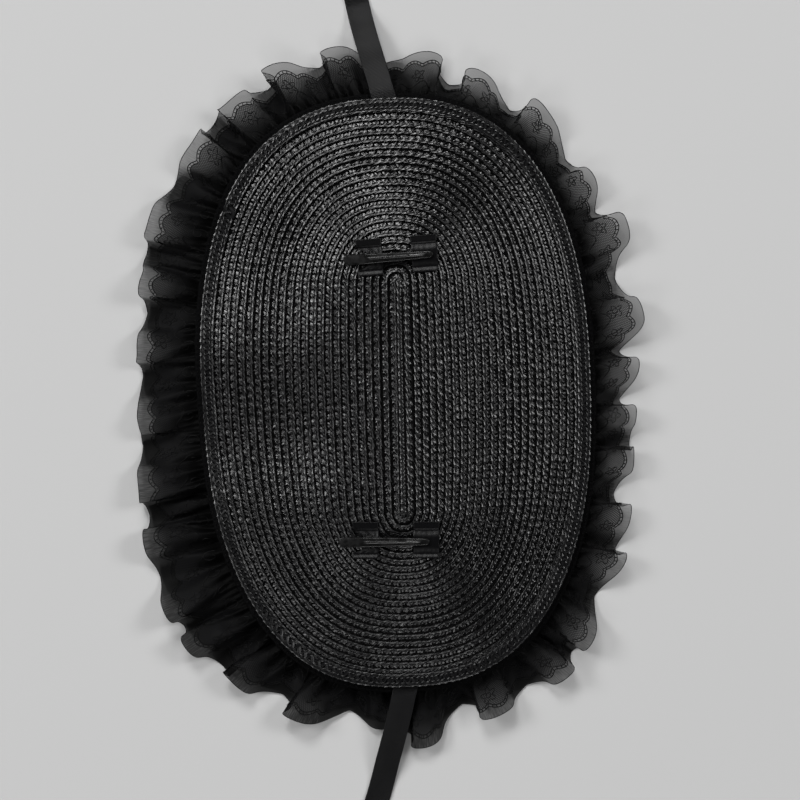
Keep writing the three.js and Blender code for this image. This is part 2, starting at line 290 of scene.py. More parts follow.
for panel in panels:
    lamp = bpy.data.lights.new(panel["name"], "AREA")
    lamp.size = panel["size"]
    lamp.energy = panel["watts"]
    lampObject = bpy.data.objects.new(panel["name"], lamp)
    lampObject.location = panel["at"]
    lampObject.rotation_euler = lampObject.location.to_track_quat("Z", "Y").to_euler()
    bpy.context.scene.collection.objects.link(lampObject)

world = bpy.data.worlds.new("studioRoom")
bpy.context.scene.world = world
world.use_nodes = True
background = world.node_tree.nodes["Background"]
background.inputs["Color"].default_value = linear(studio["world"])
background.inputs["Strength"].default_value = studio["worldStrength"]

# Matt emulsion on board, rolled: an even pale grey with hardly any grain.
floorMaterial, tree = startMaterial("mattEmulsionRolled")
grain = addNode(tree, "TexNoise", inputs={"Scale": 900.0, "Detail": 2.0})
bump = addNode(tree, "Bump", inputs={"Strength": 0.04, "Distance": 0.0002, "Height": grain})
surface = addNode(tree, "BsdfPrincipled", inputs={
    "Base Color": linear(studio["floorColour"]), "Roughness": 0.9, "Specular IOR Level": 0.1,
    "Normal": bump})
addNode(tree, "OutputMaterial", inputs={"Surface": surface})
floorMesh = bpy.data.meshes.new("floor")
far, level = studio["floorHalf"], studio["floorLevel"]
floorCorners = [(-far, -far, level), (far, -far, level), (far, far, level), (-far, far, level)]
floorMesh.from_pydata(floorCorners, [], [(0, 1, 2, 3)])
floorMesh.materials.append(floorMaterial)
floor = bpy.data.objects.new("floor", floorMesh)
bpy.context.scene.collection.objects.link(floor)
floor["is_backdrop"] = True
print("camera, light and floor set")


# The oval that everything is sewn to, in millimetres

oval = {
    "halfWidth": 97.1,
    "halfLength": 146.9,
    "squareness": 2.44,
    "taper": 0.022,  # a little wider towards the top tie
    "turn": math.radians(2.5),
    "middle": (3.3453, 3.7838),
    "underside": 10.0,
    "drop": -0.0006,
}
plateRise = [(-147, 4.0), (-85, 0.7), (-18, 0), (18, 0), (72, 0.9), (147, 3.6)]
plateWave = {"height": 2.0, "length": 87.0, "start": 45.0, "from": -12.0, "to": -55.0}  # in its left half


def ovalPoint(angle, inset):
    # a point that far inside the rim, in the oval's own axes
    power = 2 / oval["squareness"]
    c, s = np.cos(angle), np.sin(angle)
    upDown = np.sign(s) * np.abs(s) ** power
    leftRight = np.sign(c) * np.abs(c) ** power * (1 + oval["taper"] * upDown)
    return np.stack([(oval["halfWidth"] - inset) * leftRight, (oval["halfLength"] - inset) * upDown], -1)


def placed(flat, height):
    # points of the oval's own axes in the bonnet's frame, at a height above the plate's curve
    rise = easedColumn(plateRise, 1, flat[..., 1])
    wave = np.sin(2 * math.pi * (flat[..., 1] - plateWave["start"]) / plateWave["length"])
    waveShare = smoothShare(-flat[..., 0], -plateWave["from"], -plateWave["to"])
    rise = rise - plateWave["height"] * wave * waveShare
    c, s = math.cos(oval["turn"]), math.sin(oval["turn"])
    x = flat[..., 0] * c - flat[..., 1] * s + oval["middle"][0]
    y = flat[..., 0] * s + flat[..., 1] * c + oval["middle"][1]
    return np.stack([x, y, height + rise + oval["drop"]], -1)


# Sewn braid: one long three-strand plait in a spiral, each turn lapped over the one inside it

braid = {
    "turns": 23.3,  # from the middle to the last turn, which is level
    "rimWidth": 6.6,  # the last turn shows all of the plait's width
    "width": 1.7,  # the plait's width, in turns
    "middleRun": ((3.0, 56.1), (0.4, -60.9)),  # the straight run at the middle, in the oval's own axes
    "runHalf": 60.0,
    "startAngle": math.radians(142),  # the plait's end is at the upper left
    "repeat": 4.0,  # from one crossing to the next
    "strands": 3,
    "step": 1.0,
    "rowPitch": 3.75,  # from one turn to the next, in millimetres
    "halfWidth": 1.0,  # a strand's
    "halfThickness": 0.33,
    "weave": 0.15,
    "seed": 11,
}
# the plait's profile, from its inner edge at -1 to its outer edge at 1
lappedProfile = [(-1, 2.0), (-0.45, 1.92), (-0.17, 1.82), (-0.07, 1.0), (0.06, 0.55), (1, 0.4)]
rimProfile = [(-1, 2.45), (-0.5, 2.7), (0, 2.4), (0.5, 2.7), (1, 2.4)]


def spiralPoint(angle, turn):
    # a place on the spiral: turn 0 is the middle run and the last turn is the inside of the rim
    outer = ovalPoint(angle, braid["rimWidth"])
    top, bottom = (np.array(end) for end in braid["middleRun"])
    share = (np.clip(outer[..., 1] / braid["runHalf"], -1, 1)[..., None] + 1) / 2
    inner = blendBetween(bottom, top, share)
    inside = inner + (outer - inner) * (turn / braid["turns"])[..., None]
    perTurn = braid["rimWidth"] / braid["width"]
    rim = ovalPoint(angle, (braid["rimWidth"] - (turn - braid["turns"]) * perTurn))
    return np.where((turn > braid["turns"])[..., None], rim, inside)


# The plait's inner edge: out by one turn each time round, and level in the last turn.
spiralTurns = braid["turns"] + 0.5
fineTurn = np.linspace(0, spiralTurns + 1.0, 90000)
fineAngle = braid["startAngle"] + 2 * math.pi * (fineTurn - spiralTurns)
startsInward = 0.15 * (1 - smoothShare(fineTurn, 0.8, 3))
fineInner = np.minimum(fineTurn - 0.5 - startsInward, braid["turns"])
finePath = spiralPoint(fineAngle, np.maximum(fineInner + braid["width"] / 2, 0.0))
fineLength = np.concatenate([[0], np.cumsum(np.linalg.norm(np.diff(finePath, axis=0), axis=1))])
braidLength = fineLength[-1]
stepCount = int(braidLength / braid["step"])
stepAt = np.linspace(0, braidLength, stepCount)
stepAngle = np.interp(stepAt, fineLength, fineAngle)
stepInner = np.interp(stepAt, fineLength, fineInner)
stepTurn = np.interp(stepAt, fineLength, fineTurn)
print("braid:", round(braidLength / 1000, 2), "m of plait")

random = np.random.RandomState(braid["seed"])


def onRim(turned):
    # 1 in the last turn, which lies double on the rim, with a short rise into it
    return smoothShare(turned, spiralTurns - 0.06, spiralTurns + 0.04)


def braidHeight(lapShare, inner, turned):
    # the plait's height above the plate's underside, at a place across it from -1 to 1
    height = easedColumn(lappedProfile, 1, lapShare)
    height = blendBetween(1.7, height, smoothShare(inner, -0.45, 0.15))
    return blendBetween(height, easedColumn(rimProfile, 1, lapShare), onRim(turned))


rowPath = placed(spiralPoint(stepAngle, np.maximum(stepInner + braid["width"] / 2, 0.0)), oval["underside"])
rowOutward = unit(np.cross(np.gradient(rowPath, axis=0), skyward))


def plaitStrand(number):
    # one strand's middle line, its half width and its place across the plait, at each step
    period = braid["repeat"] * braid["strands"]
    phase = stepAt / period + number / braid["strands"] + 0.02 * wander(random, stepCount, 9)
    # its weave over and under the others
    swing = 0.95
    across = np.arcsin(swing * np.sin(2 * math.pi * phase)) / math.asin(swing)
    bound = -np.sign(np.cos(2 * math.pi * phase))  # which side the strand is on its way to
    overUnder = bound * np.cos(math.pi * braid["strands"] * (1 - across) / 2) * (1 - across**4)
    # its way from side to side, on the row's lapped slope
    half = braid["width"] / 2
    reach = half - braid["halfWidth"] / braid["rowPitch"]  # of the strand's middle line, in turns
    aside = np.tanh(1.5 * np.sin(2 * math.pi * phase)) / math.tanh(1.5)
    turn = stepInner + half + reach * aside + 0.02 * wander(random, stepCount, 6)
    flat = spiralPoint(stepAngle, np.maximum(turn, -0.6))
    lap = reach / half * aside
    height = oval["underside"] + braidHeight(lap, stepInner, stepTurn) + braid["weave"] * overUnder
    height += 0.07 * wander(random, stepCount, 5)
    width = braid["halfWidth"] * (1 + 0.12 * wander(random, stepCount, 4))
    width = width * (1 + 0.15 * onRim(stepTurn))
    return placed(flat, height), width, lap


# a strand's section, two flat filaments side by side: places across it and heights, both as shares of half
strandSection = [(-1, -0.5), (-0.68, 1.0), (0, 0.75), (0.68, 1.0), (1, -0.5), (0, -1)]
lapWidth = 3.3  # of half the plait's width, in millimetres


def strandRings(path, width, lap):
    # the strand's section at each step, following the lapped rows' slope over the strand's whole width
    forward = unit(np.gradient(path, axis=0))
    up = unit(skyward - forward * forward[:, 2:3])
    side = np.cross(forward, up)
    outward = (side * rowOutward).sum(1)
    ownHeight = braidHeight(lap, stepInner, stepTurn)
    rings = []
    for share, thickShare in strandSection:
        lapThere = np.clip(lap + share * width * outward / lapWidth, -1, 1)
        lift = thickShare * braid["halfThickness"] + braidHeight(lapThere, stepInner, stepTurn) - ownHeight
        rings.append(path + side * (share * width)[:, None] + up * lift[:, None])
    return np.stack(rings, 1)


# Polypropylene straw, plaited from flat extruded strands: near black, glossy, with fine lengthwise lines
# that break each highlight into short streaks.
strawMaterial, tree = startMaterial("polypropyleneStrawPlaited")
strawLook = {
    "colour": "#020203", "paler": "#060607", "roughness": 0.27, "lineLength": 6.0,
    "lineSpacing": 0.4,  # real ones are about 0.2 mm apart, too fine to show
}
size = addNode(tree, "UVMap", {"uv_map": "size"})
stretched = addNode(tree, "VectorMath", {"operation": "MULTIPLY"}, {
    0: size, 1: (1 / strawLook["lineLength"], 1 / strawLook["lineSpacing"], 1.0)})
lines = addNode(tree, "TexNoise", {"noise_dimensions": "2D"}, {
    "Vector": stretched, "Scale": 1.0, "Detail": 2.0, "Roughness": 0.6})
place = addNode(tree, "TexCoord")
patches = addNode(tree, "TexNoise", inputs={
    "Vector": place.outputs["Object"], "Scale": 1 / 0.018, "Detail": 3.0})  # patches about 18 mm wide
tone = addNode(tree, "Mix", {"data_type": "RGBA"}, {
    "Factor": patches, 6: linear(strawLook["colour"]), 7: linear(strawLook["paler"])})
gloss = addNode(tree, "MapRange", inputs={
    "Value": lines, "From Min": 0.3, "From Max": 0.7,
    "To Min": strawLook["roughness"] - 0.06, "To Max": strawLook["roughness"] + 0.10})
bump = addNode(tree, "Bump", inputs={"Strength": 0.3, "Distance": 0.0001, "Height": lines})
surface = addNode(tree, "BsdfPrincipled", inputs={
    "Base Color": tone.outputs[2], "Roughness": gloss, "IOR": 1.49, "Normal": bump})
addNode(tree, "OutputMaterial", inputs={"Surface": surface})

# The same plastic, matte and near black: painted shade, so that the filler inside the plait, the channel
# strips, the first row's seams and the strip under the first row read as the shadowed gaps and grooves
# between strands and rows.
shadeFillerMaterial = grainedMaterial("polypropyleneFillerPaintedShade", {
    "fibres": (8.0, 0.5), "colour": "#030303", "bump": (0.4, 0.2),
    "shader": {"Roughness": 0.8, "IOR": 1.49, "Specular IOR Level": 0.05}})

strandPaths = [plaitStrand(n) for n in range(braid["strands"])]
# the plait is shown as three pieces from the middle outward, and the rim: from which turn to which, and
# the CAD node that each one shows
braidPieces = [
    ("braid_middle", 0.0, 13.5, "straw_plate"),
    ("braid_halfway", 13.5, 19.1, "straw_plate"),
    ("braid_outer", 19.1, 22.8, "straw_plate"),
    ("braid_rim", 22.8, 99.0, "rim_braid"),
]
strandAcross = np.array([0, 0.53, 1.06, 1.59, 2.12, 3.18, 4.24])  # round its section, in millimetres
strandShift = 977.0  # from strand to strand along the straw's fine lines, so that no two look alike
for name, low, high, node in braidPieces:
    wanted = np.nonzero((stepTurn >= low) & (stepTurn < high))[0]
    first, last = wanted[0], min(wanted[-1] + 2, stepCount)
    parts = []
    for number, (path, width, lap) in enumerate(strandPaths):
        rings = strandRings(path, width, lap)[first:last]
        run = np.append(stepAt[first:last], stepAt[last - 1] + braid["step"]) + strandShift * number
        parts.append(sweptPiece(f"{name}_{number}", rings, strawMaterial, along=run, across=strandAcross,
                                ridged=True))
    piece = joinPieces(name, parts)
    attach(piece, "bonnet")
    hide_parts(node)

# Where a strand turns back at the plait's edge or crosses over another, it shows as a short raised dash.
# Each column of dashes: its name, where it lies in turns from the row's inner edge, how far apart its
# dashes are, their length, width and height in millimetres, their slant in degrees, and whether it's on
# the rim.
dashKeys = ("name", "at", "every", "length", "width", "height", "slant", "rim")
dashColumns = [
    ("edge", 0.12, 3.75, 5.6, 0.95, 0.52, 8, False),
    ("hatch", 0.47, 1.9, 2.0, 0.6, 0.28, 24, False),
    ("rimEdge", 0.12, 3.75, 5.6, 1.0, 0.54, 7, True),
    ("rimInner", 0.50, 2.5, 2.5, 0.7, 0.34, 22, True),
    ("rimOuter", 1.16, 2.5, 2.5, 0.7, 0.34, 18, True),
    ("rimLine", 1.60, 3.3, 5.2, 0.9, 0.5, 1, True),
]
dashLift = 0.12  # of a dash's middle above the strands
dashParts = []
for row in dashColumns:
    column = dict(zip(dashKeys, row))
    ends = (spiralTurns + 0.01, spiralTurns + 1.0) if column["rim"] else (0.35, spiralTurns)
    run = np.arange(*np.interp(ends, fineTurn, fineLength), column["every"])
    count = len(run)
    run = run + random.uniform(-0.25, 0.25, count)
    places = []
    for ahead in (-0.4, 0.0, 0.4):
        turned = np.interp(run + ahead, fineLength, fineTurn)
        inner = np.interp(run + ahead, fineLength, fineInner)
        lap = np.full(count, 2 * column["at"] / braid["width"] - 1)
        height = braidHeight(lap, inner, turned) + braid["halfThickness"] + dashLift
        turn = np.maximum(inner + column["at"], -0.5)
        angle = np.interp(run + ahead, fineLength, fineAngle)
        places.append(placed(spiralPoint(angle, turn), oval["underside"] + height))
    forward = unit(places[2] - places[0])
    side = unit(np.cross(skyward, forward))
    slant = np.radians(column["slant"] + random.uniform(-6, 6, count))[:, None]
    forward = unit(forward * np.cos(slant) + side * np.sin(slant))
    sizes = [column[key] * (1 + 0.14 * random.uniform(-1, 1, count))
             for key in ("length", "width", "height")]
    dashParts.append(manySmall("dash_" + column["name"], places[1], forward, skyward, *sizes,
                               strawMaterial, outward=0.66, faceted=True))

# The first row is too narrow to lap, so its own columns of dashes run down the middle.
firstRow = {
    "dashRun": 112,
    "dashes": ((-0.2, 3.75, 0.9), (1.5, 1.9, 0.6), (2.9, 3.75, 0.7)),  # aside, how far apart, width
    "dashSlant": 188,
    "height": 1.82,
    "length": 117,
    "halfWidth": 3.4,
    "stations": 60,
    "seamShades": ((-1.05, 0.03, 0.98), (2.2, 0.05, 0.97)),  # aside, from which share of its length to which
}
rowTop, rowBottom = (np.array(end) for end in braid["middleRun"])


def alongFirstRow(share):
    return rowTop + (rowBottom - rowTop) * share[:, None]


for aside, every, width in firstRow["dashes"]:
    count = int(firstRow["dashRun"] / every)
    share = (np.arange(count) + 0.5 + random.uniform(-0.06, 0.06, count)) / count
    flat = alongFirstRow(share) + np.array([aside, 0.0])
    places = placed(flat, np.full(count, oval["underside"] + firstRow["height"] + braid["halfThickness"]))
    lean = np.radians(firstRow["dashSlant"] + random.uniform(-5, 5, count))
    forward = np.stack([-np.sin(lean), np.cos(lean), 0 * lean], -1)
    dashParts.append(manySmall("dash_middle", places, forward, skyward, every * 1.03, width, 0.5 * width,
                               strawMaterial, faceted=True))
dashPiece = joinPieces("braid_dashes", dashParts)
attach(dashPiece, "bonnet")

# Flat filler strips in that painted-shade black, each with its edges in turns from the row's inner edge: one
# inside the plait, which follows it at a lift and keeps the gaps between the strands dark where the floor
# would show, and one at a level in the channel where the next row is sewn on, a dark strip that stands for
# the shadow in that groove.
fillers = [
    {"name": "braid_filler", "inside": 0.22, "outside": 1.6, "lift": -0.15, "ends": spiralTurns + 1.0},
    {"name": "braid_channel_shade", "inside": 0.76, "outside": 1.08, "level": 1.48, "ends": spiralTurns - 0.02},
]
fillerStep = 4.0
fillerHalf = 0.08  # of its thickness
for filler in fillers:
    fillerAt = np.arange(0, np.interp(filler["ends"], fineTurn, fineLength), fillerStep)
    fillerAngle = np.interp(fillerAt, fineLength, fineAngle)
    fillerInner = np.interp(fillerAt, fineLength, fineInner)
    fillerTurn = np.interp(fillerAt, fineLength, fineTurn)
    edges = []
    for reach in (filler["inside"], filler["outside"]):
        turn = np.maximum(fillerInner + reach, 0.0)
        lapShare = np.full(len(fillerAt), 2 * reach / braid["width"] - 1)
        if "level" in filler:
            height = np.full(len(fillerAt), filler["level"])
        else:
            height = braidHeight(lapShare, fillerInner, fillerTurn) + filler["lift"]
        edges.append(placed(spiralPoint(fillerAngle, turn), oval["underside"] + height))
    inside, outside = edges
    thick = skyward * fillerHalf
    rings = np.stack([inside - thick, inside + thick, outside + thick, outside - thick], 1)
    strip = sweptPiece(filler["name"], rings, shadeFillerMaterial,
                       along=np.append(fillerAt, fillerAt[-1] + fillerStep),
                       across=np.array([0, 0.2, 5.2, 5.4, 10.6]))
    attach(strip, "bonnet")


def rowStrip(share, wide, section, across):
    # a strip along the first row, of a section of places to the side and heights
    rings = [placed(alongFirstRow(share) + wide * np.array([aside, 0.0]), oval["underside"] + level)
             for aside, level in section]
    along = np.append(share, share[-1]) * firstRow["length"]
    return sweptPiece("strip", np.stack(rings, 1), shadeFillerMaterial, along=along, across=np.array(across))


# Under the first row a narrow strip closes the middle, and two raised dull black ones beside it are painted
# shade: dark lines that stand for the shadowed grooves of its seams.
share = np.linspace(-0.03, 1.03, firstRow["stations"])
wide = firstRow["halfWidth"] * np.sqrt(np.clip(1 - (np.abs(share - 0.5) / 0.535) ** 8, 0.02, 1))[:, None]
middleSection = [(-1, 0.5), (-0.9, 0.62), (0.9, 0.62), (1, 0.5), (0.9, 0.38), (-0.9, 0.38)]
middleStrips = [rowStrip(share, wide, middleSection, (0, 0.3, 6.4, 6.7, 7.0, 13.2, 13.5))]
for aside, low, high in firstRow["seamShades"]:
    share = np.linspace(low, high, firstRow["stations"])
    seamShadeSection = [(aside - 0.52, 1.9), (aside - 0.45, 2.42), (aside + 0.45, 2.42), (aside + 0.52, 1.9)]
    middleStrips.append(rowStrip(share, 1.0, seamShadeSection, (0, 0.2, 0.8, 1.0, 1.6)))
middleStrip = joinPieces("braid_start", middleStrips)
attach(middleStrip, "bonnet")
print("braid built")

# The chin ties, which the lace passes under

ties = {
    "width": 12.0,
    "thickness": 0.42,
    "selvedge": 0.16,  # how much thicker the woven edges are
    "step": 0.8,
    "lift": 0.5,
    "ripple": 0.18,
    "curl": 0.22,  # of its edges
    "shift": (-0.3547, -0.0162, -0.0006),
}
topTieRun = [
    (1.2, 139, 12.05), (-1.8, 149, 12.3), (-3.7, 155, 12.3), (-5.3, 161, 11), (-7.4, 168, 9.3),
    (-9.9, 176, 8), (-12.2, 184, 5.6), (-14.3, 192, 2), (-15.8, 198.5, 0.1), (-16.9, 203.4, 0.1),
]
bottomTieRun = [
    (11.2, -131, 12.3), (8.4, -143, 12.7), (7.3, -148, 12.7), (6.1, -154, 11.2), (4.4, -161.5, 9),
    (2, -171, 6.8), (-0.6, -181, 3.8), (-2.8, -190, 1), (-5.1, -198.4, 0.1), (-6.6, -203.2, 0.1),
]
tieRuns = {"top_tie": np.array(topTieRun), "bottom_tie": np.array(bottomTieRun)}


def underTies(points):
    # how far each point is under a tie's width, from 0 to 1, and the height it may have there
    weight = np.zeros(points.shape[:-1])
    ceiling = np.full(points.shape[:-1], 99.0)
    for run in tieRuns.values():
        middle = smoothRun(run, 120) + np.array(ties["shift"])
        gap = np.linalg.norm(points[..., None, :2] - middle[:, :2], axis=-1)
        nearest = np.argmin(gap, -1)
        near = 1 - smoothShare(np.min(gap, -1), ties["width"] / 2 + 0.5, ties["width"] / 2 + 4)
        ceiling = np.where(near > 0, middle[nearest, 2], ceiling)
        weight = np.maximum(weight, near)
    return weight, ceiling


# The ruffle: one long strip of lace, gathered in under the rim and loose at its outer edge

ruffle = {
    "tuck": 6.0,  # how far inside the rim it starts
    "headHeight": 6.3,
    "lowest": 0.5,
    "flatWidth": 38.0,
    "headRows": 11,  # rows over the first part of its width, where the gathers are finest
    "headShare": 0.3,
    "columns": 2000,
    "rows": 31,
    "overlap": (0.4, 2.4),  # how far a fold's sides swing over along the rim
    "lean": (2.5, 6.5),
    "gather": 0.75,
    "gatherEvery": 3.3,
    "pleat": 2.9,
    "flutter": 0.7,
    "underTies": 0.45,  # below the middle of a tie that lies on it
    "floorGap": 0.22,
    "seed": 23,
}
# each main fold: its place along the rim, its reach, the reach of the hollow after it and its height
folds = [
    (16, 29, 20.5, 6), (38, 30, 21.5, 12), (60, 29, 27, 11), (88, 29.5, 28.5, 13),
    (118, 34.5, 31, 12), (148, 32.5, 27.5, 14), (170, 32.5, 30, 11), (206, 33, 31.5, 10),
    (237, 37, 34, 12), (268, 39, 37.5, 12), (290, 40.5, 36, 14), (312, 39, 31.5, 12),
    (333, 32, 21.5, 11), (360, 28.5, 15, 12), (388, 23, 22.5, 5), (408, 32, 12.5, 8),
    (441, 24, 18.5, 13), (463, 28.5, 23, 12), (485, 27, 18.5, 14), (513, 25.5, 20.5, 12),
    (532, 24, 14.5, 11), (562, 22.5, 20, 12), (581, 22, 15.5, 13), (604, 24.5, 16, 14),
    (628, 28.5, 17.5, 15), (673, 29, 17, 14), (692, 22, 15, 11), (727, 23, 11.5, 13),
    (757, 20, 10.5, 12), (785, 24, 18, 7),
]
# how much of a fold's full height shows, from the heading at 0 to the free edge at 1
foldRise = [(0, 0), (0.24, 0), (0.43, 0.4), (0.62, 0.78), (0.82, 1), (1, 1)]

rimAngle = np.linspace(math.pi / 2, 2.5 * math.pi, 6001)
rimPoints = placed(ovalPoint(rimAngle, 0), 0)
rimAlong = np.concatenate([[0], np.cumsum(np.linalg.norm(np.diff(rimPoints[:, :2], axis=0), axis=1))])
rimLength = rimAlong[-1]


def rimPlace(along):
    along = np.mod(along, rimLength)
    return np.stack([np.interp(along, rimAlong, rimPoints[:, axis]) for axis in range(3)], -1)


def outwardAt(along):
    forward = unit(rimPlace(along + 3)[..., :2] - rimPlace(along - 3)[..., :2])
    return np.stack([forward[..., 1], -forward[..., 0]], -1)


random = np.random.RandomState(ruffle["seed"])
foldTable = np.array(folds, float)
foldCount = len(folds)
foldPlaces = np.concatenate([
    [foldTable[-1, 0] - rimLength], foldTable[:, 0], [foldTable[0, 0] + rimLength]])
foldOverlap = random.uniform(*ruffle["overlap"], foldCount)
foldLean = random.uniform(*ruffle["lean"], foldCount) * random.choice([-1, 1, 1], foldCount)


def roundWaves(count, low, high):
    # waves that close up round the rim: how many there are of each, and their sizes, shifts and drifts
    return [
        (random.randint(low, high), random.uniform(0.5, 1), random.uniform(0, 6.28), random.uniform(-2, 2))
        for _ in range(count)]


def waveSum(waves, along, across):
    total = 0
    for number, amount, shift, drift in waves:
        total = total + amount * np.sin(2 * math.pi * number * along / rimLength + shift + drift * across)
    return total / math.sqrt(len(waves))


pleatWaves = roundWaves(9, 52, 104)
slackWaves = roundWaves(6, 26, 60)
flutterWaves = roundWaves(6, 60, 130)
gatherShift = roundWaves(5, 8, 40)


def lacePlace(along, across):
    # Where the lace lies, for a place along the rim and a share of its width. First the fold that it's in:
    # its reach, its crest and how far it leans along the rim.
    phase = np.interp(along, foldPlaces, np.arange(-1, foldCount + 1))
    before = np.floor(phase).astype(int)
    share = phase - before
    a = before % foldCount
    side = np.where(share < 0.5, a, (a + 1) % foldCount)
    lift = (1 + np.cos(2 * math.pi * share)) / 2
    reach = blendBetween(foldTable[a, 2], foldTable[side, 1], lift**0.6)
    crest = blendBetween(ruffle["lowest"], foldTable[side, 3], lift)
    swing = smoothShare(across, 0.10, 0.85)
    aside = foldOverlap[a] * np.sin(4 * math.pi * share) + foldLean[side] * lift
    at = along + swing * aside
    # out from under the rim to the fold's reach, a little unevenly
    rim = rimPlace(at)
    out = blendBetween(-ruffle["tuck"], reach, across)
    out = out + 0.8 * smoothShare(across, 0.3, 0.8) * waveSum(slackWaves, along, across)
    # down from the heading to the surface it lies on, or up to the fold's crest
    falling = blendBetween(ruffle["headHeight"] + rim[..., 2], ruffle["lowest"], smoothShare(across, 0, 0.9))
    height = blendBetween(falling, crest, easedColumn(foldRise, 1, across))
    # smaller pleats between the folds, fine gathers at the heading and a flutter at the free edge
    pleat = np.tanh(1.3 * waveSum(pleatWaves, along, 1.5 * across))
    pleatSize = smoothShare(across, 0.06, 0.3) * (1 - 0.72 * smoothShare(across, 0.45, 1))
    height = height + ruffle["pleat"] * pleatSize * pleat
    gathers = round(rimLength / ruffle["gatherEvery"])
    gatherPhase = 2 * math.pi * gathers * along / rimLength + 1.6 * waveSum(gatherShift, along, across)
    gatherSize = 1 - smoothShare(across, 0.14, 0.62)
    gatherSize = gatherSize * (0.75 + 0.45 * waveSum(slackWaves, along, 0))
    height = height + ruffle["gather"] * gatherSize * np.sin(gatherPhase)
    flutter = waveSum(flutterWaves, along, across) * smoothShare(across, 0.55, 1)
    height = height + ruffle["flutter"] * flutter
    # pressed down under the ties, and never through the surface it lies on
    outward = outwardAt(at)
    place = np.stack([rim[..., 0] + outward[..., 0] * out, rim[..., 1] + outward[..., 1] * out, height], -1)
    under, ceiling = underTies(place)
    lowered = np.minimum(place[..., 2], ceiling - ruffle["underTies"])
    place[..., 2] = np.maximum(blendBetween(place[..., 2], lowered, under), ruffle["floorGap"])
    return place


# Nearly equal steps along the free edge, where the lace lies at its full length.
fineAlong = np.linspace(0, rimLength, 12001)
fineEdge = lacePlace(fineAlong, np.ones_like(fineAlong))
edgeStep = np.linalg.norm(np.diff(fineEdge, axis=0), axis=1)
evenStep = np.full_like(edgeStep, edgeStep.mean())
edgeRun = np.concatenate([[0], np.cumsum(0.75 * edgeStep + 0.25 * evenStep)])
laceLength = edgeRun[-1]
columns, rows = ruffle["columns"], ruffle["rows"]
laceAlong = np.linspace(0, laceLength, columns + 1)
columnAlong = np.interp(laceAlong[:-1], edgeRun, fineAlong)
headRows, headShare = ruffle["headRows"], ruffle["headShare"]
rowShare = np.concatenate([
    np.linspace(0, headShare, headRows), np.linspace(headShare, 1, rows - headRows + 1)[1:]])
laceAcross = rowShare * ruffle["flatWidth"]
lacePoints = lacePlace(np.repeat(columnAlong[:, None], rows, 1), np.repeat(rowShare[None], columns, 0))
laceForward = np.roll(lacePoints, -1, 0) - np.roll(lacePoints, 1, 0)
laceOutward = np.gradient(lacePoints, axis=1)
laceNormals = unit(np.cross(laceOutward, laceForward))
print("lace:", round(laceLength / 1000, 2), "m long before gathering")

# the pattern on the lace, in millimetres; the net starts at the heading and ends in a scalloped outline
lace = {
    "scallop": 12.5,
    "scallopDepth": 3.2,
    "scallopBase": 30.0,
    "cordGap": 1.7,
    "cord": 0.24,
    "cordStep": 0.85,
    "edgeCord": 0.18,
    "knotEvery": 1.9,
    "flowerEvery": 16.0,
    "flowerRow": 24.0,
    "flowerSize": 4.6,
    "heart": 1.5,
    "swirlRow": 13.0,
    "swirlSize": 4.6,
    "stemRow": 17.5,
    "stemSwing": 2.4,
    "stemStep": 1.6,
    "thread": 0.24,
    "threadLift": 0.12,
    "netPitch": 1.1,  # between the net's slanted threads
}
scallops = round(laceLength / lace["scallop"])
scallopPitch = laceLength / scallops


def scallopLine(along):
    return lace["scallopBase"] + lace["scallopDepth"] * np.abs(np.sin(math.pi * along / scallopPitch))


def onLace(along, across, lift):
    # places on the lace's upper side, and which way is up there
    i = np.interp(np.mod(along, laceLength), laceAlong, np.arange(columns + 1))
    j = np.clip(np.interp(across, laceAcross, np.arange(rows)), 0, rows - 1.001)
    i0, j0 = np.floor(i).astype(int), np.floor(j).astype(int)
    fi, fj = (i - i0)[..., None], (j - j0)[..., None]
    i0 = i0 % columns
    i1 = (i0 + 1) % columns

    def mixed(grid):
        near = blendBetween(grid[i0, j0], grid[i1, j0], fi)
        return blendBetween(near, blendBetween(grid[i0, j0 + 1], grid[i1, j0 + 1], fi), fj)

    up = unit(mixed(laceNormals))
    return mixed(lacePoints) + up * lift, up


# Nylon organza with a knitted net on its inner part: black and so sheer that the floor shows through
# where it is single, with a soft sheen along its folds.
organzaMaterial, tree = startMaterial("nylonOrganzaWithKnittedNet")
organzaLook = {
    "ground": "#020202", "netThread": "#161617", "plainAlpha": 0.69, "netAlpha": 0.83, "headShadeAlpha": 1.0,
    "hollow": 0.16, "crest": -0.12,  # painted shade and light, partly the real doubling where folds crowd: added to the alpha by height, so the lace is more opaque and darker low in the hollows and sheerer and lighter on each crest
    "foldHeights": (0.0015, 0.0085),  # of the hollows and the crests, in metres
    "netLitToUpperRight": (1.5, 0.75, 0.0),  # painted light: how much sheerer, and so lighter, the net gets for each metre to the upper right
    "borderShadedToLowerLeft": (-1.4, -1.6, 0.0),  # painted shade: how much more opaque, and so darker, the plain border gets for each metre to the lower left
    "netRange": (0.50, 0.98),
    "plainRange": (0.50, 0.92),
    "threadSpacing": 0.5,  # real organza has 0.15 mm between threads, too fine to show
}
size = addNode(tree, "UVMap", {"uv_map": "size"})
split = addNode(tree, "SeparateXYZ", inputs={"Vector": size})
turned = addNode(tree, "Math", {"operation": "MULTIPLY"}, {
    0: split.outputs["X"], 1: math.pi / scallopPitch})
wave = addNode(tree, "Math", {"operation": "SINE"}, {0: turned})
bulge = addNode(tree, "Math", {"operation": "ABSOLUTE"}, {0: wave})
outline = addNode(tree, "Math", {"operation": "MULTIPLY_ADD"}, {
    0: bulge, 1: lace["scallopDepth"], 2: lace["scallopBase"] - lace["cordGap"]})
# how far a place lies beyond the scalloped line where the net ends and the plain border starts
beyond = addNode(tree, "Math", {"operation": "SUBTRACT"}, {0: split.outputs["Y"], 1: outline})
plainShare = addNode(tree, "MapRange", {"interpolation_type": "SMOOTHSTEP"}, {
    "Value": beyond, "From Min": -0.2, "From Max": 0.2})
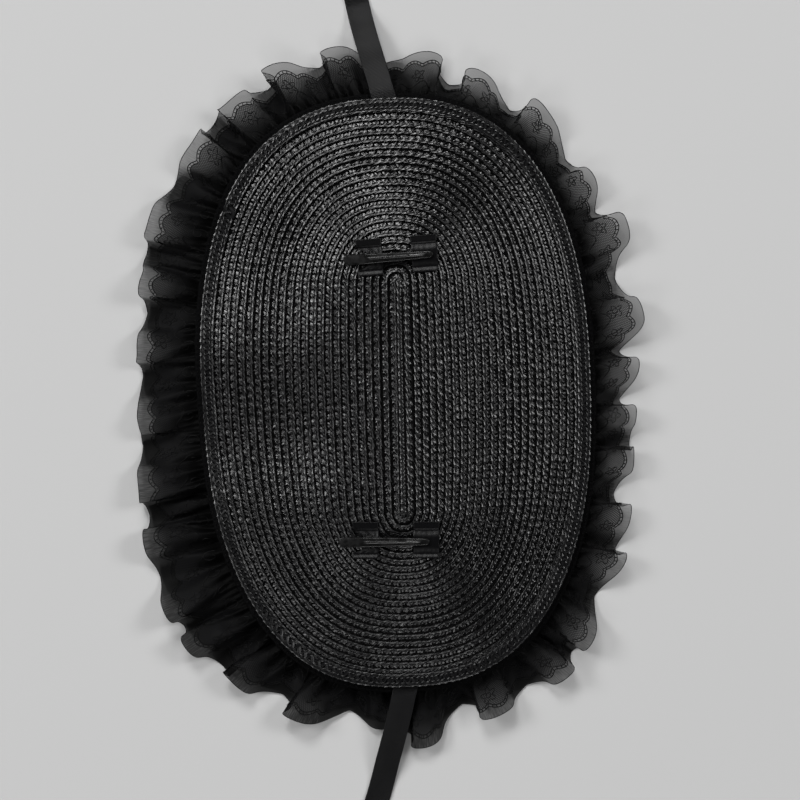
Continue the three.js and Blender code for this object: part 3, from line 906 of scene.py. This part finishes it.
# the net's threads run on two slants
slants = []
for slant in (0.62, -0.62):
    run = addNode(tree, "VectorMath", {"operation": "DOT_PRODUCT"}, {
        0: size, 1: (math.pi / lace["netPitch"], slant * math.pi / lace["netPitch"], 0.0)})
    wave = addNode(tree, "Math", {"operation": "SINE"}, {0: run.outputs["Value"]})
    slants.append(addNode(tree, "Math", {"operation": "ABSOLUTE"}, {0: wave}))
nearest = addNode(tree, "Math", {"operation": "MINIMUM"}, {0: slants[0], 1: slants[1]})
netThread = addNode(tree, "MapRange", inputs={
    "Value": nearest, "From Min": 0.3, "From Max": 0.5, "To Min": 1.0, "To Max": 0.0})
place = addNode(tree, "TexCoord")
crowding = addNode(tree, "TexNoise", inputs={
    "Vector": place.outputs["Object"], "Scale": 1 / 0.035, "Detail": 1.0})  # fuller places 35 mm wide
# how much the net and the border let through, by their place and by the height of the fold: painted light
# towards the upper right and on the crests, painted shade towards the lower left and in the hollows
paintedLightSideways = addNode(tree, "VectorMath", {"operation": "DOT_PRODUCT"}, {
    0: place.outputs["Object"], 1: organzaLook["netLitToUpperRight"]})
level = addNode(tree, "SeparateXYZ", inputs={"Vector": place.outputs["Object"]})
# painted shade and light: by height alone, the alpha rises low in the hollows and falls on the crests
paintedFoldShade = addNode(tree, "MapRange", {"interpolation_type": "SMOOTHSTEP"}, {
    "Value": level.outputs["Z"], "From Min": organzaLook["foldHeights"][0],
    "From Max": organzaLook["foldHeights"][1],
    "To Min": organzaLook["hollow"], "To Max": organzaLook["crest"]})
fullness = addNode(tree, "Math", {"operation": "MULTIPLY_ADD"}, {
    0: crowding, 1: 0.3, 2: organzaLook["netAlpha"] - 0.15})
litNetVeil = addNode(tree, "Math", {"operation": "SUBTRACT"}, {0: fullness, 1: paintedLightSideways.outputs["Value"]})
netVeil = addNode(tree, "Math", {"operation": "ADD"}, {0: litNetVeil, 1: paintedFoldShade})
netGround = addNode(tree, "Clamp", inputs={
    "Value": netVeil, "Min": organzaLook["netRange"][0], "Max": organzaLook["netRange"][1]})
# painted shade, partly the real doubling of the gathered net: the lace is made fully opaque near the
# heading, under the rim
shadedHeadward = addNode(tree, "MapRange", {"interpolation_type": "SMOOTHSTEP"}, {
    "Value": split.outputs["Y"], "From Min": 11.0, "From Max": 25.0,
    "To Min": organzaLook["headShadeAlpha"], "To Max": netGround})
netAlpha = addNode(tree, "Mix", inputs={"Factor": netThread, 2: shadedHeadward, 3: 0.97})
warp = addNode(tree, "VectorMath", {"operation": "MULTIPLY"}, {
    0: size, 1: (1 / organzaLook["threadSpacing"], 1 / 7.0, 1.0)})
threads = addNode(tree, "TexNoise", {"noise_dimensions": "2D"}, {
    "Vector": warp, "Scale": 1.0, "Detail": 2.0, "Roughness": 0.6})
threadVeil = addNode(tree, "MapRange", inputs={
    "Value": threads, "From Min": 0.3, "From Max": 0.7,
    "To Min": organzaLook["plainAlpha"] - 0.08, "To Max": organzaLook["plainAlpha"] + 0.10})
# painted shade: the plain border grows more opaque, and so darker, towards the lower left
paintedShadeDownward = addNode(tree, "VectorMath", {"operation": "DOT_PRODUCT"}, {
    0: place.outputs["Object"], 1: organzaLook["borderShadedToLowerLeft"]})
shadedBorderVeil = addNode(tree, "Math", {"operation": "ADD"}, {0: threadVeil, 1: paintedShadeDownward.outputs["Value"]})
veil = addNode(tree, "Math", {"operation": "ADD"}, {0: shadedBorderVeil, 1: paintedFoldShade})
plainAlpha = addNode(tree, "Clamp", inputs={
    "Value": veil, "Min": organzaLook["plainRange"][0], "Max": organzaLook["plainRange"][1]})
alpha = addNode(tree, "Mix", inputs={"Factor": plainShare, 2: netAlpha, 3: plainAlpha})
netOnly = addNode(tree, "Math", {"operation": "SUBTRACT"}, {0: netThread, 1: plainShare})
# painted shade, partly the real doubling of the gathered net: the net's paler threads show only from 9 mm
# out, so near the heading the lace keeps its plain black ground
outer = addNode(tree, "MapRange", {"interpolation_type": "SMOOTHSTEP"}, {
    "Value": split.outputs["Y"], "From Min": 9.0, "From Max": 24.0})
shown = addNode(tree, "Math", {"operation": "MULTIPLY", "use_clamp": True}, {0: netOnly, 1: outer})
tone = addNode(tree, "Mix", {"data_type": "RGBA"}, {
    "Factor": shown, 6: linear(organzaLook["ground"]), 7: linear(organzaLook["netThread"])})
relief = addNode(tree, "Math", {"operation": "ADD"}, {0: netThread, 1: threads})
bump = addNode(tree, "Bump", inputs={"Strength": 0.3, "Distance": 0.00015, "Height": relief})
surface = addNode(tree, "BsdfPrincipled", inputs={
    "Base Color": tone.outputs[2], "Roughness": 0.55, "IOR": 1.53, "Specular IOR Level": 0.035,
    "Alpha": alpha, "Normal": bump})
addNode(tree, "OutputMaterial", inputs={"Surface": surface})

# Rayon embroidery thread, laid in cords: black with a slight gloss on each round cord.
threadMaterial = grainedMaterial("rayonThreadCorded", {
    "grains": 0.9, "colour": "#020202", "paler": "#09090a", "bump": (0.4, 0.1),
    "shader": {"Roughness": 0.5, "IOR": 1.53, "Specular IOR Level": 0.1}})


def threadOnLace(name, along, across, radius, lift, closed):
    path, up = onLace(along, across, lift)
    ahead = np.roll(path, -1, 0) - np.roll(path, 1, 0) if closed else np.gradient(path, axis=0)
    side = np.cross(unit(ahead), up)
    rings = np.stack([path - side * radius, path + up * radius, path + side * radius, path - up * radius], 1)
    return sweptPiece(name, rings, threadMaterial, joinedEnds=closed)


laceSheet = sweptPiece("lace_sheet", lacePoints, organzaMaterial, closedAcross=False, joinedEnds=True,
                       along=laceAlong, across=laceAcross)
cordAlong = np.linspace(0, laceLength, int(laceLength / lace["cordStep"]), endpoint=False)
laceCords = joinPieces("lace_cords", [
    threadOnLace("edge_cord", cordAlong, np.full_like(cordAlong, ruffle["flatWidth"]), lace["edgeCord"],
                 0, True),
    threadOnLace("outer_cord", cordAlong, scallopLine(cordAlong), lace["cord"], 0.1, True),
    threadOnLace("inner_cord", cordAlong, scallopLine(cordAlong) - lace["cordGap"], lace["cord"], 0.1, True),
])
flowerCount = round(laceLength / lace["flowerEvery"])
flowerPitch = laceLength / flowerCount
motifs = []


def addMotif(name, along, across, closed=True):
    motifs.append(threadOnLace(name, along, across, lace["thread"], lace["threadLift"], closed))


petals = roundAngles(26)
heart = roundAngles(9)
curl = np.linspace(0.15, 1, 18)
for number in range(flowerCount):
    spin = random.uniform(0, 6.28)
    centre = (number + 0.5) * flowerPitch + random.uniform(-1, 1)
    height = lace["flowerRow"] + random.uniform(-1.5, 1.5)
    reach = lace["flowerSize"] * random.uniform(0.85, 1.1) * (0.74 + 0.26 * np.cos(5 * petals))
    addMotif("petals", centre + reach * np.cos(petals + spin), height + reach * np.sin(petals + spin))
    addMotif("heart", centre + lace["heart"] * np.cos(heart), height + lace["heart"] * np.sin(heart))
    reach = lace["swirlSize"] * curl
    addMotif("swirl", centre + flowerPitch / 2 + reach * np.cos(8.5 * curl + spin),
             lace["swirlRow"] + reach * np.sin(8.5 * curl + spin), closed=False)
stemAlong = np.linspace(0, laceLength, int(laceLength / lace["stemStep"]), endpoint=False)
addMotif("stem", stemAlong,
         lace["stemRow"] + lace["stemSwing"] * np.sin(2 * math.pi * stemAlong / flowerPitch))
laceFlowers = joinPieces("lace_flowers", motifs)
knotCount = round(laceLength / lace["knotEvery"])
knotAlong = (np.arange(knotCount) + 0.5) * laceLength / knotCount
knotPlaces, knotUp = onLace(knotAlong, scallopLine(knotAlong) - lace["cordGap"] / 2, 0.08)
knotForward = unit(np.cross(knotUp, np.roll(knotPlaces, -1, 0) - knotPlaces))
laceKnots = manySmall("lace_knots", knotPlaces, knotForward, knotUp, lace["cordGap"] + 0.2, 0.6, 0.4,
                      threadMaterial)
for piece in (laceSheet, laceCords, laceFlowers, laceKnots):
    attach(piece, "bonnet")
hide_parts("lace_ruffle")
print("lace built")

# The heading: a narrow tape that the lace is gathered into, sewn round the outside of the plate

heading = {
    "middle": 7.9, "thickness": 0.7, "ripple": 0.2, "rippleEvery": 2.5, "slack": 0.16, "steps": 1500,
    "stitchEvery": 3.2, "stitchRow": 1.9, "stitchLift": 0.12,
}

# Cotton tape, plain woven: flat dull black with short cross threads.
tapeMaterial = grainedMaterial("cottonTapePlainWoven", {
    "fibres": (0.45, 2.2), "colour": "#020202", "paler": "#070708", "bump": (0.5, 0.2),
    "shader": {"Roughness": 0.85, "IOR": 1.5, "Specular IOR Level": 0.05}})

tapeAlong = np.linspace(0, rimLength, heading["steps"], endpoint=False)
tapeRim = rimPlace(tapeAlong)
tapeOutward = outwardAt(tapeAlong)
ripples = round(rimLength / heading["rippleEvery"])
ripple = np.sin(2 * math.pi * ripples * tapeAlong / rimLength + 1.5 * waveSum(gatherShift, tapeAlong, 0))
half = heading["thickness"] / 2
# the tape's section: how far outside the rim, and the height in halves of its thickness
tapeSection = [(-6.4, -0.6), (-6.5, 0.3), (-5.9, 1), (0, 1), (2.4, 1), (2.95, 0.3), (2.85, -0.6), (0, -1)]
tapeRings = []
for reach, level in tapeSection:
    edgeSlack = heading["slack"] * waveSum(flutterWaves, tapeAlong, 0) * (1 if reach > 2 else 0)
    flat = tapeRim[:, :2] + tapeOutward * (reach + edgeSlack)[:, None]
    rippled = heading["ripple"] * ripple * (0.4 if reach < 0 else 1)
    height = heading["middle"] + tapeRim[:, 2] + half * level + rippled
    tapeRings.append(np.column_stack([flat, height]))
tapePiece = sweptPiece("heading_tape", np.stack(tapeRings, 1), tapeMaterial, joinedEnds=True,
                       along=np.append(tapeAlong, rimLength),
                       across=np.array([0, 1, 1.6, 7.5, 10, 10.6, 11.2, 14, 21.0]))
stitchCount = round(rimLength / heading["stitchEvery"])
stitchAlong = (np.arange(stitchCount) + 0.5) * rimLength / stitchCount
stitchRim = rimPlace(stitchAlong)
stitchFlat = stitchRim[:, :2] + outwardAt(stitchAlong) * heading["stitchRow"]
stitchPlaces = np.column_stack([
    stitchFlat, stitchRim[:, 2] + heading["middle"] + half + heading["stitchLift"]])
stitchForward = unit(rimPlace(stitchAlong + 1) - rimPlace(stitchAlong - 1))
tapeStitches = manySmall("heading_stitches", stitchPlaces, stitchForward, skyward, 2.4, 0.4, 0.3,
                         threadMaterial)
for piece in (tapePiece, tapeStitches):
    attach(piece, "bonnet")
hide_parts("ruffle_heading")
print("heading built")

# Polyester ribbon, woven in fine cross ribs: even dark grey, dull across the ribs, with firm edges.
ribbonMaterial, tree = startMaterial("polyesterRibbonRibWoven")
ribbonLook = {"colour": "#040405", "paler": "#080809", "ribSpacing": 0.7}  # real ribs are 0.4 mm apart
size = addNode(tree, "UVMap", {"uv_map": "size"})
ribs = addNode(tree, "TexWave", {"wave_type": "BANDS", "bands_direction": "X"}, {
    "Vector": size, "Scale": 0.314 / ribbonLook["ribSpacing"], "Distortion": 0.6,
    "Detail": 1.0})
stretched = addNode(tree, "VectorMath", {"operation": "MULTIPLY"}, {0: size, 1: (1 / 0.5, 1 / 1.8, 1.0)})
threads = addNode(tree, "TexNoise", {"noise_dimensions": "2D"}, {
    "Vector": stretched, "Scale": 1.0, "Detail": 2.0})
relief = addNode(tree, "Math", {"operation": "ADD"}, {0: ribs.outputs["Fac"], 1: threads})
bump = addNode(tree, "Bump", inputs={"Strength": 0.3, "Distance": 0.00018, "Height": relief})
tone = addNode(tree, "Mix", {"data_type": "RGBA"}, {
    "Factor": threads, 6: linear(ribbonLook["colour"]), 7: linear(ribbonLook["paler"])})
surface = addNode(tree, "BsdfPrincipled", inputs={
    "Base Color": tone.outputs[2], "Roughness": 0.45, "IOR": 1.54, "Specular IOR Level": 0.14,
    "Normal": bump})
addNode(tree, "OutputMaterial", inputs={"Surface": surface})

for name, run in tieRuns.items():
    tieLength = np.linalg.norm(np.diff(run, axis=0), axis=1).sum()
    count = int(tieLength / ties["step"])
    middle = smoothRun(run, count) + np.array(ties["shift"])
    forward = unit(np.gradient(middle, axis=0))
    side = unit(np.cross(forward, skyward))
    up = np.cross(side, forward)
    lift = ties["lift"] + ties["ripple"] * np.sin(np.arange(count) * ties["step"] / 5.3)
    across = np.array([-1, -0.97, -0.90, -0.6, -0.3, 0, 0.3, 0.6, 0.90, 0.97, 1])
    thick = ties["thickness"] / 2 + ties["selvedge"] / 2 * (np.abs(across) >= 0.9)
    thick[[0, -1]] *= 0.35
    bow = ties["curl"] * (across**2 - 0.4)
    top = [middle + side * s * ties["width"] / 2 + up * (lift[:, None] + b + t)
           for s, b, t in zip(across, bow, thick)]
    under = [middle + side * s * ties["width"] / 2 + up * (lift[:, None] + b - t)
             for s, b, t in zip(across[::-1], bow[::-1], thick[::-1])]
    rings = np.stack(top + under, 1)
    rings[..., 2] = np.maximum(rings[..., 2], 0.12)
    spread = np.concatenate([across, 2.03 - across[::-1]]) * ties["width"] / 2
    strip = sweptPiece(name + "_ribbon", rings, ribbonMaterial, along=np.arange(count + 1) * ties["step"],
                       across=np.append(spread, spread[-1] + 0.2))
    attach(strip, "bonnet")
    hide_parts(name)
print("ties built")

# The hair clips, each in its own frame: x from the pivot towards the jaws' tips, z up from the plate

clipMakeup = {
    "seat": 12.4,  # the height of the plate's upper side under them
    "pinHeight": 2.7,
    "pinRadius": 0.4,
    "headRadius": 0.68,
    "holeRadius": 0.5,
    "sheet": 0.6,
    "rib": 0.2,
    # an ear's and a cheek's inner face from the middle, thickness, and reach along, up and down
    "ear": (1.25, 0.4, 1.3, 1.15, 2.05),
    "cheek": (1.95, 0.5, 1.7, 1.95, 0.9),
    "springWire": 0.17,
    "springRadius": 0.88,
    "springTurns": 4.5,
}
baseBladeRows = [(-9.2, 2.3), (2, 2.3), (34, 1.6), (35.4, 1.45)]  # place, half width
jawRows = [  # place, half width, height of its upper side
    (-9.3, 2.6, 7.25), (-1.8, 2.6, 5.5), (1.4, 2.55, 4.9), (12, 2.35, 4.2), (24, 2.05, 3.3),
    (34, 1.65, 3.15), (35.5, 1.5, 3.15),
]
clipPlaces = [
    {"name": "top_clip", "body": "top_jaw", "at": (-13.3, 70.2), "turn": math.radians(4.4),
     "pivotTab": -3, "tipTab": 24.6},
    {"name": "bottom_clip", "body": "bottom_jaw", "at": (-15.3, -71), "turn": math.radians(0.4),
     "pivotTab": -3, "tipTab": 27.4},
]

# Black enamel baked on pressed spring steel: smooth, satin, and worn a little paler along its edges.
enamelMaterial, tree = startMaterial("enamelBakedOnSteel")
enamelLook = {"colour": "#050505", "worn": "#2c2c2d", "roughness": 0.25}
place = addNode(tree, "TexCoord")
geometry = addNode(tree, "NewGeometry")
peel = addNode(tree, "TexNoise", inputs={
    "Vector": place.outputs["Object"], "Scale": 1 / 0.0012, "Detail": 2.0})  # orange peel about 1.2 mm wide
rubbed = addNode(tree, "TexNoise", inputs={
    "Vector": place.outputs["Object"], "Scale": 1 / 0.0035, "Detail": 4.0})  # rubbed places 3.5 mm wide
edge = addNode(tree, "MapRange", inputs={
    "Value": geometry.outputs["Pointiness"], "From Min": 0.52, "From Max": 0.62})
rub = addNode(tree, "MapRange", inputs={"Value": rubbed, "From Min": 0.42, "From Max": 0.62})
wear = addNode(tree, "Math", {"operation": "MULTIPLY"}, {0: edge, 1: rub})
tone = addNode(tree, "Mix", {"data_type": "RGBA"}, {
    "Factor": wear, 6: linear(enamelLook["colour"]), 7: linear(enamelLook["worn"])})
gloss = addNode(tree, "MapRange", inputs={
    "Value": rubbed, "From Min": 0.3, "From Max": 0.7,
    "To Min": enamelLook["roughness"] - 0.05, "To Max": enamelLook["roughness"] + 0.10})
bump = addNode(tree, "Bump", inputs={"Strength": 0.12, "Distance": 0.0001, "Height": peel})
surface = addNode(tree, "BsdfPrincipled", inputs={
    "Base Color": tone.outputs[2], "Roughness": gloss, "IOR": 1.5,
    "Specular IOR Level": 0.5, "Normal": bump})
addNode(tree, "OutputMaterial", inputs={"Surface": surface})

# Drawn spring wire, blued by heat: a dark metal with fine lines along it.
wireMaterial = grainedMaterial("springWireBlued", {
    "grains": 0.6, "colour": "#2c2d30", "paler": "#3d3e42", "polish": (0.28, 0.42), "bump": (0.1, 0.05),
    "shader": {"Metallic": 1.0}})

# Polyester satin ribbon for the tabs: darker than the ties, smooth, with a soft band of light on each bend.
satinMaterial = grainedMaterial("polyesterSatinRibbonWoven", {
    "fibres": (1.6, 0.3), "colour": "#020203", "paler": "#070708", "bump": (0.3, 0.12),
    "shader": {"Roughness": 0.34, "IOR": 1.54, "Specular IOR Level": 0.12}})


def inClipFrame(clip, points):
    # points of a clip's own frame, moved to its place on the plate
    points = np.asarray(points, float)
    c, s = math.cos(clip["turn"]), math.sin(clip["turn"])
    rise = easedColumn(plateRise, 1, np.array(float(clip["at"][1])))
    x = points[..., 0] * c - points[..., 1] * s + clip["at"][0] + ties["shift"][0]
    y = points[..., 0] * s + points[..., 1] * c + clip["at"][1] + ties["shift"][1]
    return np.stack([x, y, points[..., 2] + clipMakeup["seat"] + rise + ties["shift"][2]], -1)


def roundedEnds(x, low, high, lowRound, highRound):
    # how much of its width a strip keeps near its rounded ends
    atLow = np.sqrt(np.clip(1 - ((low + lowRound - x).clip(0) / lowRound) ** 2, 0.02, 1))
    atHigh = np.sqrt(np.clip(1 - ((x - high + highRound).clip(0) / highRound) ** 2, 0.02, 1))
    return atLow * atHigh


def pressedStrip(clip, name, rows, thickness, rib, ribEnd, stations):
    # A strip of sheet steel with rolled edges and, where rib isn't 0, a rib pressed along its middle.
    rows = np.array(rows, float)
    half = np.interp(stations, rows[:, 0], rows[:, 1])
    half = half * roundedEnds(stations, stations[0], stations[-1], 1.3, 1.7)
    top = np.interp(stations, rows[:, 0], rows[:, 2])
    ribShare = smoothShare(stations, 1.5, 4.0) * (1 - smoothShare(stations, ribEnd - 4, ribEnd))
    across = np.array([-1, -0.96, -0.86, -0.7, -0.26, -0.18, -0.09, 0, 0.09, 0.18, 0.26, 0.7, 0.78, 0.95, 1])
    rolled = np.array([-0.36, -0.15, -0.03, 0, 0, 0, 0, 0, 0, 0, 0, 0, -0.03, -0.20, -0.44])
    ribbed = np.array([0, 0, 0, 0, 0.05, 0.4, 0.88, 1, 0.88, 0.4, 0.05, 0, 0, 0, 0])
    rings = []
    for s, low, raised in zip(across, rolled, ribbed):
        rings.append(np.column_stack([stations, s * half, top + low + rib * ribShare * raised]))
    for s, raised in zip(across[::-1], ribbed[::-1]):
        flange = 0.22 if abs(s) > 0.9 and rib else 0
        rings.append(np.column_stack([
            stations, s * half * (0.985 if abs(s) == 1 else 1),
            top - thickness - flange + rib * ribShare * raised]))
    points = inClipFrame(clip, np.stack(rings, 1))
    spread = np.concatenate([across, 2 - across[::-1]]) * 2.3
    return sweptPiece(name, points, enamelMaterial, along=np.append(stations, stations[-1] + 0.1),
                      across=np.append(spread, spread[-1] + 0.6))


def uprightPlate(clip, name, side, inner, thickness, reach, up, down):
    # A small rounded plate on one side of the pivot, with the pin's hole through it.
    angle = roundAngles(40)
    c, s = np.cos(angle), np.sin(angle)
    tall = np.where(s > 0, up, down)
    outer = (np.abs(c / reach) ** 4 + np.abs(s / tall) ** 4) ** -0.25
    levels = [(outer - 0.1, 0), (outer, 0.1), (outer, thickness - 0.1), (outer - 0.1, thickness)]
    hole = np.full_like(angle, clipMakeup["holeRadius"])
    levels += [(hole, thickness), (hole, 0)]
    rings = np.stack([
        np.column_stack([
            r * c, np.full_like(angle, side * (inner + depth)), clipMakeup["pinHeight"] + r * s])
        for r, depth in levels], 1)
    return sweptPiece(name, inClipFrame(clip, rings), enamelMaterial, joinedEnds=True,
                      along=np.linspace(0, 10, 41), across=np.array([0, 0.2, 0.5, 0.7, 1.6, 2.0, 3.0]))


def turnedPin(clip, name):
    # the pin with its two riveted heads, turned round the pivot's line
    head, radius = clipMakeup["headRadius"], clipMakeup["pinRadius"]
    side = [
        (0.02, -2.86), (0.35, -2.84), (head - 0.08, -2.74), (head, -2.62), (head - 0.04, -2.52),
        (radius, -2.5)]
    profile = side + [(r, -y) for r, y in side[::-1]]
    angle = roundAngles(24)
    rings = np.stack([
        np.column_stack([
            r * np.cos(angle), np.full_like(angle, y), clipMakeup["pinHeight"] + r * np.sin(angle)])
        for r, y in profile], 0)
    return sweptPiece(name, inClipFrame(clip, rings), enamelMaterial)


def roundWire(clip, name, path):
    path = np.asarray(path, float)
    forward = unit(np.gradient(path, axis=0))
    side = unit(np.cross(forward, np.array([0.3, 0.0, 1.0])))
    up = np.cross(side, forward)
    angle = roundAngles(8)
    wire = clipMakeup["springWire"]
    rings = np.stack([path + wire * (side * math.cos(a) + up * math.sin(a)) for a in angle], 1)
    return sweptPiece(name, inClipFrame(clip, rings), wireMaterial)


def torsionSpring(clip, name):
    # the coil round the pin and its leg along the base blade
    turns = clipMakeup["springTurns"]
    angle = np.linspace(0, 2 * math.pi * turns, int(turns * 18))
    radius = clipMakeup["springRadius"]
    coil = np.column_stack([
        radius * np.sin(angle), np.linspace(-0.82, 0.82, len(angle)),
        clipMakeup["pinHeight"] - radius * np.cos(angle)])
    run = np.linspace(-6.2, -0.3, 14)
    leg = np.column_stack([run, np.full_like(run, -0.86), 1.78 - 0.62 * smoothShare(run, -0.6, -4.5)])
    return roundWire(clip, name, np.concatenate([leg, coil]))


# the ribbon tabs: y across the clip, z of the underside, share of the draw, and layers of ribbon
tabRun = [
    (-8.4, 0.3, 0, 2.3), (-7.9, 0.3, 0, 2.6), (-6.0, 0.3, 0.05, 1), (-3.0, 1.2, 1, 1), (3.0, 1.2, 1, 1),
    (6.0, 0.32, 0.1, 1), (6.6, 0.3, 0, 2.2), (10.0, 0.3, 0, 1.9),
]
tabs = {"width": 13.2, "ribbon": 0.46, "draw": 5.3, "stations": 64, "seed": 5}


def ribbonTab(clip, name, start, draw, seed):
    # one tab: ribbon folded under at its ends, sewn down there and laid over the base blade
    tabRandom = np.random.RandomState(seed)
    table = np.array(tabRun, float)
    y = np.linspace(table[0, 0], table[-1, 0], tabs["stations"])
    low = np.interp(y, table[:, 0], table[:, 1])
    low = np.convolve(np.pad(low, 2, mode="edge"), np.full(5, 0.2), mode="valid")
    drawn = smoothShare(np.abs(y), 6.2, 3.0) * draw
    layers = np.interp(y, table[:, 0], table[:, 3])
    layers = np.convolve(np.pad(layers, 1, mode="edge"), np.array([0.25, 0.5, 0.25]), mode="valid")
    thickness = tabs["ribbon"] * layers
    across = np.concatenate([[0, 0.02], np.linspace(0.05, 0.95, 27), [0.98, 1]])
    edges = np.array([-0.5, -0.12] + [0] * 27 + [-0.12, -0.5])
    left = start + drawn + 0.10 * np.sin(y * 1.3 + seed)
    right = start + tabs["width"] + 0.10 * np.sin(y * 0.9 + 2 * seed)
    shift = tabRandom.uniform(0, 6.28, 3)
    top, under = [], []
    for s, edge in zip(across, edges):
        x = left + (right - left) * s
        crowded = (0.16 * drawn / tabs["draw"] + 0.045) * smoothShare(np.abs(y), 8.2, 5.6)
        ripple = np.sin(18 * s + shift[0] + 0.35 * y) + 0.6 * np.sin(31 * s + shift[1] - 0.5 * y)
        pucker = 0.6 * crowded * ripple
        sagging = smoothShare(np.abs(y), 6.5, 4.5) * smoothShare(np.abs(y), 1.5, 3.5)
        sag = -0.10 * math.sin(math.pi * s) * sagging
        level = low + pucker + sag
        top.append(np.column_stack([x, y, level + thickness + edge * tabs["ribbon"]]))
        under.append(np.column_stack([x, y, level - edge * 0.1]))
    points = inClipFrame(clip, np.stack(top + under[::-1], 1))
    spread = np.concatenate([across, 2.03 - across[::-1]]) * tabs["width"]
    strip = sweptPiece(name, points, satinMaterial, along=np.append(y, y[-1] + 0.2),
                       across=np.append(spread, spread[-1] + 0.3))
    stitches = []
    for row in (-7.4, 7.3, 9.2):
        place = start + np.arange(0.9, tabs["width"] - 0.6, 1.9) + tabRandom.uniform(-0.15, 0.15)
        stitches.append(np.column_stack([
            place, np.full_like(place, row), np.full_like(place, 0.3 + 2 * tabs["ribbon"] + 0.05)]))
    middles = inClipFrame(clip, np.concatenate(stitches))
    forward = np.tile([math.cos(clip["turn"]), math.sin(clip["turn"]), 0.0], (len(middles), 1))
    sewing = manySmall(name + "_stitches", middles, forward, skyward, 1.3, 0.3, 0.22, threadMaterial)
    return strip, sewing


# places along a clip's blades, closest together at their rounded ends
leverStations = np.linspace(-9.3, -5.6, 44)
bladeStations = np.concatenate([leverStations, np.linspace(-5.4, 33.2, 78), np.linspace(33.4, 35.45, 12)])
for clip in clipPlaces:
    name = clip["name"]
    blade = [(x, half, 0.9) for x, half in baseBladeRows]
    ears = [uprightPlate(clip, "ear", side, *clipMakeup["ear"]) for side in (1, -1)]
    cheeks = [uprightPlate(clip, "cheek", side, *clipMakeup["cheek"]) for side in (1, -1)]
    base = joinPieces(name + "_base", [
        pressedStrip(clip, "blade", blade, clipMakeup["sheet"], 0, 30, bladeStations[2:]), *ears])
    jaw = joinPieces(name + "_jaw", [
        pressedStrip(clip, "jaw", jawRows, clipMakeup["sheet"], clipMakeup["rib"], 33, bladeStations),
        *cheeks])
    pin = turnedPin(clip, name + "_rivet")
    coil = torsionSpring(clip, name + "_coil")
    pieces = [(base, "bonnet", "_base_blade"), (jaw, clip["body"], "_sprung_jaw"), (pin, "bonnet", "_pin"),
              (coil, "bonnet", "_spring")]
    for piece, body, node in pieces:
        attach(piece, body)
        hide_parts(name + node)
    for index, (key, draw) in enumerate((("pivotTab", tabs["draw"]), ("tipTab", 0))):
        node = name + ("_pivot_tab" if index == 0 else "_tip_tab")
        strip, sewing = ribbonTab(clip, node + "_ribbon", clip[key], draw, tabs["seed"] + index)
        for piece in (strip, sewing):
            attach(piece, "bonnet")
        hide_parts(node)
print("clips built")

sizes = {"cad": [list(corner) for corner in cadBox], "visual": [list(corner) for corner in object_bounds()]}
